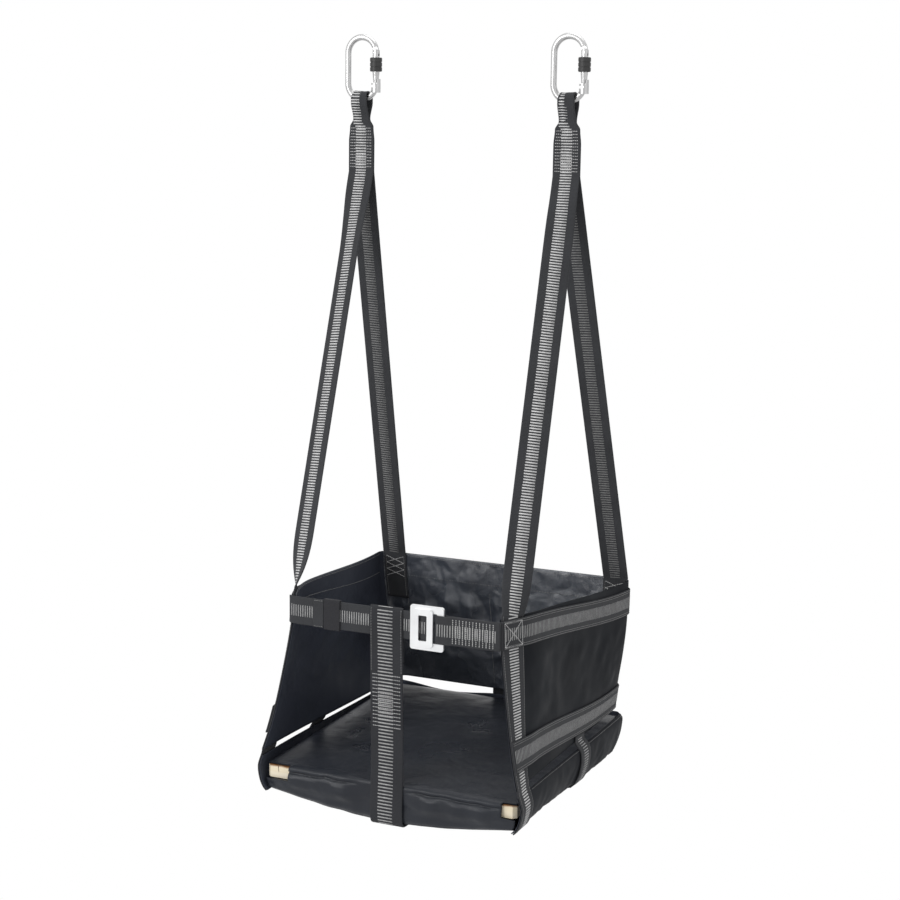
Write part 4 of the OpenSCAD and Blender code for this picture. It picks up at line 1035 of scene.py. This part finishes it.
# Belt, keeper, crotch strap and the strap under the seat. The belt's barFar to barTailEnd are distances to
# the right of the buckle's frame.
slide = 0.0003
beltTop = rimFrontZ - tub["rimMargin"]
beltFoot = beltTop - web["width"]
beltMid = (beltTop + beltFoot) / 2
beltY = rimFrontY - overWeb - 0.003
buckle = {"x": 0.060, "width": 0.056, "bar": 0.011, "thick": 0.0036, "tongueRight": 0.071}
buckleY = beltY - web["thick"] - slide
belt = {"curve": 0.003, "past": 0.001, "climb": 0.008, "climbGap": 0.0013, "barInset": 0.0014,
        "barFar": 0.016, "barNear": 0.002, "barTail": 0.004, "barTailFar": 0.020, "barTailEnd": 0.092,
        "tackFrom": 0.100, "tackTo": 0.172, "tackRows": 13, "sewnThick": 0.0018, "sewnGap": 0.0002}
keeper = {"x": -0.104, "width": 0.028, "thick": 0.002, "room": 0.0009, "bluntY": 0.35, "bluntZ": 0.12,
          "sewnLeft": -0.1365, "sewnRight": -0.1188}


def alongAt(strap, axis, value, first, last=None):
    # Distance along a strap at which its middle reaches a value on one axis
    centre = strap["mid"][first:last, middle, axis]
    order = np.argsort(centre)
    return float(np.interp(value, centre[order], strap["along"][first:last][order]))


def planStrap(name, plan, thick=web["thick"]):
    # A strap that runs level round the seat's front, through (x, y) points
    plan = np.asarray(plan, float)
    centre = np.column_stack([plan, np.full(len(plan), beltMid)])
    return strapAlong(name, centre, (0, 0, -1), web["width"], thick)


def beltTurn(count):
    # From the tub's left front edge round to the front
    x, y = tubPoint(0.0, (tub["rimMargin"] + web["width"]) / tub["rimFrontHeight"], overWeb)[:2]
    t = np.linspace(0, 1, count)[:, None]
    a, b, c = np.array([x, y]), np.array([x + belt["curve"], beltY]), np.array([x + web["width"] / 2, beltY])
    line = lerp(lerp(a, b, t), lerp(b, c, t), t)
    tangent = unit(np.gradient(line, axis=0))
    return line + np.column_stack([tangent[:, 1], -tangent[:, 0]]) * web["thick"] / 2


def planRun(first, *runs):
    # Plan points from a first one through the end of each run, side-stepping softly on the eased ones
    points, a = [], first
    for x, y, count, *eased in runs:
        t = np.linspace(0, 1, count + 1)[1:]
        points += [[lerp(a[0], x, k), lerp(a[1], y, float(smooth(k)) if eased else k)] for k in t]
        a = (x, y)
    return points


def makeLeftBelt(turn, y):
    # Runs through the buckle's frame and over its tongue side
    th = web["thick"]
    barX = buckle["x"] - buckle["width"] / 2 + buckle["bar"] + belt["past"]
    overY = y - th - belt["climbGap"]
    left = planRun((turn[-1][0], y), (barX, y, 80), (barX + belt["climb"], overY, 8, True),
                   (buckle["tongueRight"] - belt["past"], overY, 6))
    beltLeft = planStrap("beltLeftWebbing", turn.tolist() + left)
    last = beltLeft["along"][-1]
    ladder(beltLeft, 0.004, last - 0.002, "belt", -1)
    # The belt's inner face gets its bars in the darker ladder yarn, a painted shade.
    ladder(beltLeft, 0.004, last - 0.03, "rear", 1)
    finishStrap(beltLeft, "seat", "webbing", "belt_left")
    patchY = beltY - th - belt["sewnGap"] - belt["sewnThick"] / 2
    plan = [[x, patchY] for x in np.linspace(keeper["sewnLeft"], keeper["sewnRight"], 12)]
    patch = planStrap("beltSewnEnd", plan, belt["sewnThick"])
    threadRows(patch, (-0.46, 0.46), 0.001, patch["along"][-1] - 0.001, -1)
    finishStrap(patch, "seat", "webbing")


def makeRightBelt(turn, y):
    # Turns round the frame's right bar and is sewn down on itself
    th, frameRight = web["thick"], buckle["x"] + buckle["width"] / 2
    mirrored = (turn * np.array([-1, 1])).tolist()
    barY = buckleY - buckle["thick"] / 2
    r = buckle["thick"] / 2 + slide + th / 2
    inner = frameRight - buckle["bar"] - slide + belt["barInset"]
    arc = [[inner - r * math.sin(q), barY + r * math.cos(q)] for q in np.linspace(0, math.pi, 14)]
    padY = beltY - 1.5 * th - tub["seam"]
    near, tail = frameRight + belt["barNear"], frameRight + belt["barTail"]
    run = mirrored + planRun((mirrored[-1][0], y), (frameRight + belt["barFar"], y, 50),
                             (near, barY + r, 8, True), (inner, barY + r, 7))
    run += arc[1:] + planRun((inner, barY - r), (tail, barY - r, 7))
    turnRow = len(run)
    run += planRun((tail, barY - r), (frameRight + belt["barTailFar"], padY, 9, True),
                   (frameRight + belt["barTailEnd"], padY, 40))
    beltRight = planStrap("beltRightWebbing", run)
    d = beltRight["along"]
    ladder(beltRight, 0.004, d[turnRow - 20], "belt", 1)
    ladder(beltRight, d[turnRow - 10], d[-1] - 0.002, "belt", -1)
    tackStart, tackStop = (alongAt(beltRight, 0, belt[k], turnRow) for k in ("tackFrom", "tackTo"))
    barTack(beltRight, tackStart, tackStop, belt["tackRows"], -1)
    finishStrap(beltRight, "seat", "webbing", "belt_right")


frontTurn = beltTurn(24)
makeLeftBelt(frontTurn, beltY - web["thick"] / 2)
makeRightBelt(frontTurn, beltY - web["thick"] / 2)


def makeKeeper():
    halfY = web["thick"] / 2 + keeper["room"] + keeper["thick"] / 2
    halfZ = web["width"] / 2 + slide + keeper["thick"] / 2
    angles = np.linspace(0, 2 * math.pi, 65)[:-1]
    ring = np.array([(math.copysign(abs(math.cos(a)) ** keeper["bluntY"], math.cos(a)) * halfY,
                      math.copysign(abs(math.sin(a)) ** keeper["bluntZ"], math.sin(a)) * halfZ)
                     for a in angles])
    ring = np.concatenate([ring, ring[:1]]) + np.array([beltY - web["thick"] / 2, beltMid])
    centre = np.column_stack([np.full(len(ring), keeper["x"]), ring])
    strap = strapAlong("beltKeeperLoop", centre, (1, 0, 0), keeper["width"], keeper["thick"], "keeper")
    finishStrap(strap, "keeper", "keeper_webbing", "belt_keeper")


makeKeeper()


def smoothLine(points, step):
    # A rounded line through control points, by cutting their corners, then spaced evenly
    line = np.asarray(points, float)
    for _ in range(4):
        a, b = line[:-1], line[1:]
        cut = np.empty((2 * len(a), line.shape[1]))
        cut[0::2], cut[1::2] = lerp(a, b, 0.25), lerp(a, b, 0.75)
        line = np.concatenate([line[:1], cut, line[-1:]])
    d = lengthsAlong(line)
    stops = np.linspace(0, d[-1], int(d[-1] / step) + 1)
    return np.column_stack([np.interp(stops, d, line[:, k]) for k in range(line.shape[1])])


def makeCrotchStrap():
    # Up over the belt in a sewn loop, down the pocket's front, back under the seat and up the back wall
    th, turn = web["thick"], crotch["turn"]
    over = beltTop + slide + th / 2
    front = beltY - th - slide - th / 2
    behind = beltY + slide + th / 2
    lowY = boardFrontY - slide - pocket["frontFold"] * tub["pocketCloth"] - th - slide
    lowZ = boardUnder - pocket["sagEdge"] - pocket["sagMid"] - tub["pocketCloth"] - th
    backY = skirtRearY + overWall + th / 2 + tub["seam"]
    tackZ = beltFoot - crotch["tackDrop"]
    crown = crotch["crown"]
    loop = [(front + th + tub["seam"], tackZ), (behind, beltFoot - crotch["loopDrop"]),
            (behind, over - crown), ((front + behind) / 2, over + crown), (front, over - crown),
            (front, beltFoot)]
    face = [(lerp(front - 0.0012, lowY, t), lerp(tackZ, boardUnder - 0.012, t)) for t in np.linspace(0, 1, 6)]
    base = [(lowY, lowZ + turn), (lowY + turn / 4, lowZ + turn / 4)]
    base += [(lerp(lowY + turn, backY - turn, t), lowZ) for t in np.linspace(0, 1, 6)]
    base += [(backY - turn / 4, lowZ + turn / 4), (backY, lowZ + turn), (backY, boardUnder)]
    up = [tuple(tubPoint(1.5, v, overWeb + th / 2)[1:] + np.array([tub["fold"], 0]))
          for v in np.linspace(1, 0.06, 10)]
    path = smoothLine(loop + face + base + up, 0.004)
    lift = smooth((path[:, 1] - boardUnder) / (beltTop - boardUnder))
    centre = np.column_stack([np.where(path[:, 0] > 0, 0, -crotch["shift"] * lift), path])
    strap = strapAlong("crotchStrapWebbing", centre, (1, 0, 0), crotch["width"], th, "darkWebbing")
    d = strap["along"]
    topRow = int(np.argmax(path[:60, 1]))
    ladder(strap, d[topRow] - crotch["ladderUp"], d[-1] - 0.004, "crotch", 1, lambda x: -0.03)
    tackTop, tackFoot = (alongAt(strap, 2, crotch[k], topRow, topRow + 60) for k in ("tackTop", "tackFoot"))
    barTack(strap, tackTop, tackFoot, crotch["tackRows"])
    threadRows(strap, (-0.455, 0.455), d[topRow] + 0.003, tackTop - 0.002)
    finishStrap(strap, "seat", "webbing", "crotch_strap")
    print("crotch strap", round(d[-1], 3), "m long, tack rows", round(tackTop, 3), round(tackFoot, 3))


makeCrotchStrap()

# The strap that runs under the seat from wall to wall, further forward at the left by twice its skew
cross = {"skew": 0.050, "below": 0.009, "wallTop": 0.004, "turnIn": 0.008, "turnDrop": 0.007,
         "levelIn": 0.030, "levelRise": 0.006}


def makeCrossStrap():
    th, half, skew = web["thick"], tub["boardWidth"] / 2, cross["skew"]
    midY = tub["centreY"] - tub["overhang"]
    lowZ = boardUnder - pocket["sagEdge"] - pocket["sagMid"] - cross["below"]
    hemX = half - tub["hemTuck"] + tub["rearStandOff"]
    hemMidZ = (hemFrontZ + hemRearZ) / 2
    cols = profile * web["width"]

    def end(g):
        s = (midY + g * skew + cols - footFrontY) / (skirtRearY - footFrontY)
        s = s if g < 0 else 3 - s
        rows = [lowBandV(s) + cross["wallTop"]]
        rows += [lerp(slitV(s), tub["hemV"], t) for t in np.linspace(0, 1, 16)]
        vv = np.array([lerp(rows[0], rows[1], t) for t in np.linspace(0, 1, 9)[:-1]] + rows[1:])
        return onTub(s[None, :], vv, overWall + th / 2)

    left, right = end(-1), end(1)
    run = [(-hemX + cross["turnIn"], hemMidZ - cross["turnDrop"]),
           (-hemX + cross["levelIn"], lowZ + cross["levelRise"]), (-half / 2, lowZ)]
    run = run + [(0, lowZ)] + [(-x, z) for x, z in reversed(run)]
    ends = [(mid[-1, middle, 0], mid[-1, middle, 2]) for mid, _ in (left, right)]
    path = smoothLine([ends[0]] + [(x, z - th / 2) for x, z in run] + [ends[1]], 0.005)[1:-1]
    under = np.array([[(x, midY + skew * x / half + c, z) for c in cols] for x, z in path])
    tangent = unit(np.gradient(path, axis=0))
    down = np.column_stack([tangent[:, 1], np.zeros(len(path)), -tangent[:, 0]])
    mid = np.concatenate([left[0], under, right[0][::-1]])
    normal = np.concatenate([left[1], np.repeat(down[:, None], len(cols), axis=1), right[1][::-1]])
    strap = strapFromGrid("crossStrapWebbing", mid, normal, th)
    ladder(strap, 0.003, strap["along"][-1] - 0.003, "band")
    finishStrap(strap, "seat", "webbing", "cross_strap")
    print("cross strap", round(strap["along"][-1], 3), "m long")


makeCrossStrap()
print("belts and straps made")


# One Geometry Nodes tree turns each point into a short rounded thread
def makeThreadTree():
    tree = bpy.data.node_groups.new("layThreads", "GeometryNodeTree")
    face = tree.interface
    face.new_socket("Geometry", in_out="INPUT", socket_type="NodeSocketGeometry")
    for label, kind, value in (("Uneven", "NodeSocketFloat", 0.08), ("Sides", "NodeSocketInt", 8),
                               ("Seed", "NodeSocketInt", 4)):
        face.new_socket(label, in_out="INPUT", socket_type=kind).default_value = value
    face.new_socket("Finish", in_out="INPUT", socket_type="NodeSocketMaterial")
    face.new_socket("Geometry", in_out="OUTPUT", socket_type="NodeSocketGeometry")
    given, out = tree.nodes.new("NodeGroupInput").outputs, tree.nodes.new("NodeGroupOutput")

    def attribute(name, kind="FLOAT"):
        return addNode(tree, "GeometryNodeInputNamedAttribute", {"Name": name}, data_type=kind).outputs[0]

    rod = addNode(tree, "GeometryNodeMeshCylinder", {"Vertices": given["Sides"], "Radius": 0.5, "Depth": 1.0})
    ways = {0: attribute("lay", "FLOAT_VECTOR"), 1: attribute("face", "FLOAT_VECTOR")}
    turn = addNode(tree, "FunctionNodeAxesToRotation", ways, primary_axis="Z", secondary_axis="X")
    least, most = (calc(tree, operation, 1.0, given["Uneven"]) for operation in ("SUBTRACT", "ADD"))
    vary = addNode(tree, "FunctionNodeRandomValue", {2: least, 3: most, "Seed": given["Seed"]},
                   data_type="FLOAT")
    length = calc(tree, "MULTIPLY", attribute("reach"), vary.outputs[1])
    size = addNode(tree, "ShaderNodeCombineXYZ", {0: attribute("high"), 1: attribute("wide"), 2: length})
    lay = addNode(tree, "GeometryNodeInstanceOnPoints",
                  {"Points": given["Geometry"], "Instance": rod.outputs["Mesh"],
                   "Rotation": turn.outputs[0], "Scale": size.outputs[0]})
    real = addNode(tree, "GeometryNodeRealizeInstances", {"Geometry": lay.outputs[0]})
    dressed = addNode(tree, "GeometryNodeSetMaterial", {"Geometry": real.outputs[0],
                                                        "Material": given["Finish"]})
    tree.links.new(dressed.outputs[0], out.inputs[0])
    return tree


threadTree = makeThreadTree()


def layThreads(kind):
    rows = threads[kind]
    mesh = bpy.data.meshes.new(kind + "Points")
    mesh.from_pydata([tuple(r[0]) for r in rows], [], [])
    columns = {"lay": 1, "face": 2, "reach": 3, "wide": 4, "high": 5}
    for name, column in columns.items():
        vector = column < 3
        layer = mesh.attributes.new(name, "FLOAT_VECTOR" if vector else "FLOAT", "POINT")
        values = np.array([r[column] for r in rows], float).ravel()
        layer.data.foreach_set("vector" if vector else "value", values)
    carrier = newObject(kind + "Points", mesh)
    modifier = carrier.modifiers.new("layThreads", "NODES")
    modifier.node_group = threadTree
    items = threadTree.interface.items_tree
    sockets = {item.name: item.identifier for item in items if item.in_out == "INPUT"}
    yarn, uneven, sides, seed = threadKinds[kind]
    settings = {"Uneven": uneven, "Sides": sides, "Seed": seed, "Finish": finish[yarn]}
    for label, value in settings.items():
        modifier[sockets[label]] = value
    bpy.context.view_layer.update()
    made = bpy.data.meshes.new_from_object(carrier.evaluated_get(bpy.context.evaluated_depsgraph_get()))
    bpy.data.objects.remove(carrier)
    made.name = kind
    for name in columns:
        if name in made.attributes:
            made.attributes.remove(made.attributes[name])
    made.polygons.foreach_set("use_smooth", [True] * len(made.polygons))
    piece = newObject(kind, made)
    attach(piece, "seat")
    print(kind, len(rows), "threads,", len(made.polygons), "faces")


for kind in threadKinds:
    layThreads(kind)

# Studio: a white world, a pale floor far under the hanging seat, and soft lamps
studio = {"floorZ": -1.9, "ambient": 0.62, "floor": (0.9, 0.9, 0.9, 1), "size": 14, "nearRing": 0.5,
          "farRing": 0.95, "aim": (0, 0, -0.8)}
lamps = {"keyLamp": {"place": (-2.2, -3.0, 1.6), "size": 2.4, "power": 45},
         "sideLamp": {"place": (3.0, -1.2, 0.4), "size": 1.8, "power": 5},
         "frontLamp": {"place": (-1.3, -3.2, 0.1), "size": 0.9, "power": 27},
         "topLamp": {"place": (0.3, 0.6, 2.4), "size": 2.0, "power": 44}}


def seenDirectly(tree):
    path = addNode(tree, "ShaderNodeLightPath").outputs
    mirrored = calc(tree, "MAXIMUM", path["Is Glossy Ray"], path["Is Transmission Ray"])
    return calc(tree, "MAXIMUM", path["Is Camera Ray"], mirrored)


def makeStudio():
    world = bpy.data.worlds.new("studio")
    bpy.context.scene.world = world
    world.use_nodes = True
    t = world.node_tree
    shade = t.nodes["Background"]
    shade.inputs["Color"].default_value = (1, 1, 1, 1)
    t.links.new(ramp(t, seenDirectly(t), 0, 1, studio["ambient"], 1.0), shade.inputs["Strength"])
    mesh = bpy.data.meshes.new("studioFloor")
    r, z = studio["size"], studio["floorZ"]
    mesh.from_pydata([(-r, -r, z), (r, -r, z), (r, r, z), (-r, r, z)], [], [(0, 1, 2, 3)])
    floor = newObject("studioFloor", mesh)
    material, t, shader = newMaterial("floorPaper", Roughness=0.9, Base_Color=studio["floor"])
    flat = addNode(t, "ShaderNodeVectorMath", {0: objectPlace(t), 1: (1, 1, 0)}, operation="MULTIPLY")
    away = addNode(t, "ShaderNodeVectorMath", {0: flat.outputs[0]}, operation="LENGTH").outputs["Value"]
    white = calc(t, "MULTIPLY", ramp(t, away, studio["nearRing"], studio["farRing"]), seenDirectly(t))
    glow = addNode(t, "ShaderNodeEmission", {"Color": (1, 1, 1, 1), "Strength": 1.0})
    blend = addNode(t, "ShaderNodeMixShader", {0: white, 1: shader.outputs[0], 2: glow.outputs[0]})
    t.links.new(blend.outputs[0], t.nodes["Material Output"].inputs["Surface"])
    mesh.materials.append(material)
    for name, look in lamps.items():
        lamp = bpy.data.lights.new(name, "AREA")
        lamp.energy, lamp.size = look["power"], look["size"]
        holder = newObject(name, lamp)
        holder.location = look["place"]
        aim = Vector(studio["aim"]) - Vector(look["place"])
        holder.rotation_euler = aim.to_track_quat("-Z", "Y").to_euler()


makeStudio()
bpy.context.scene.view_settings.view_transform = "Standard"
print("studio lit")
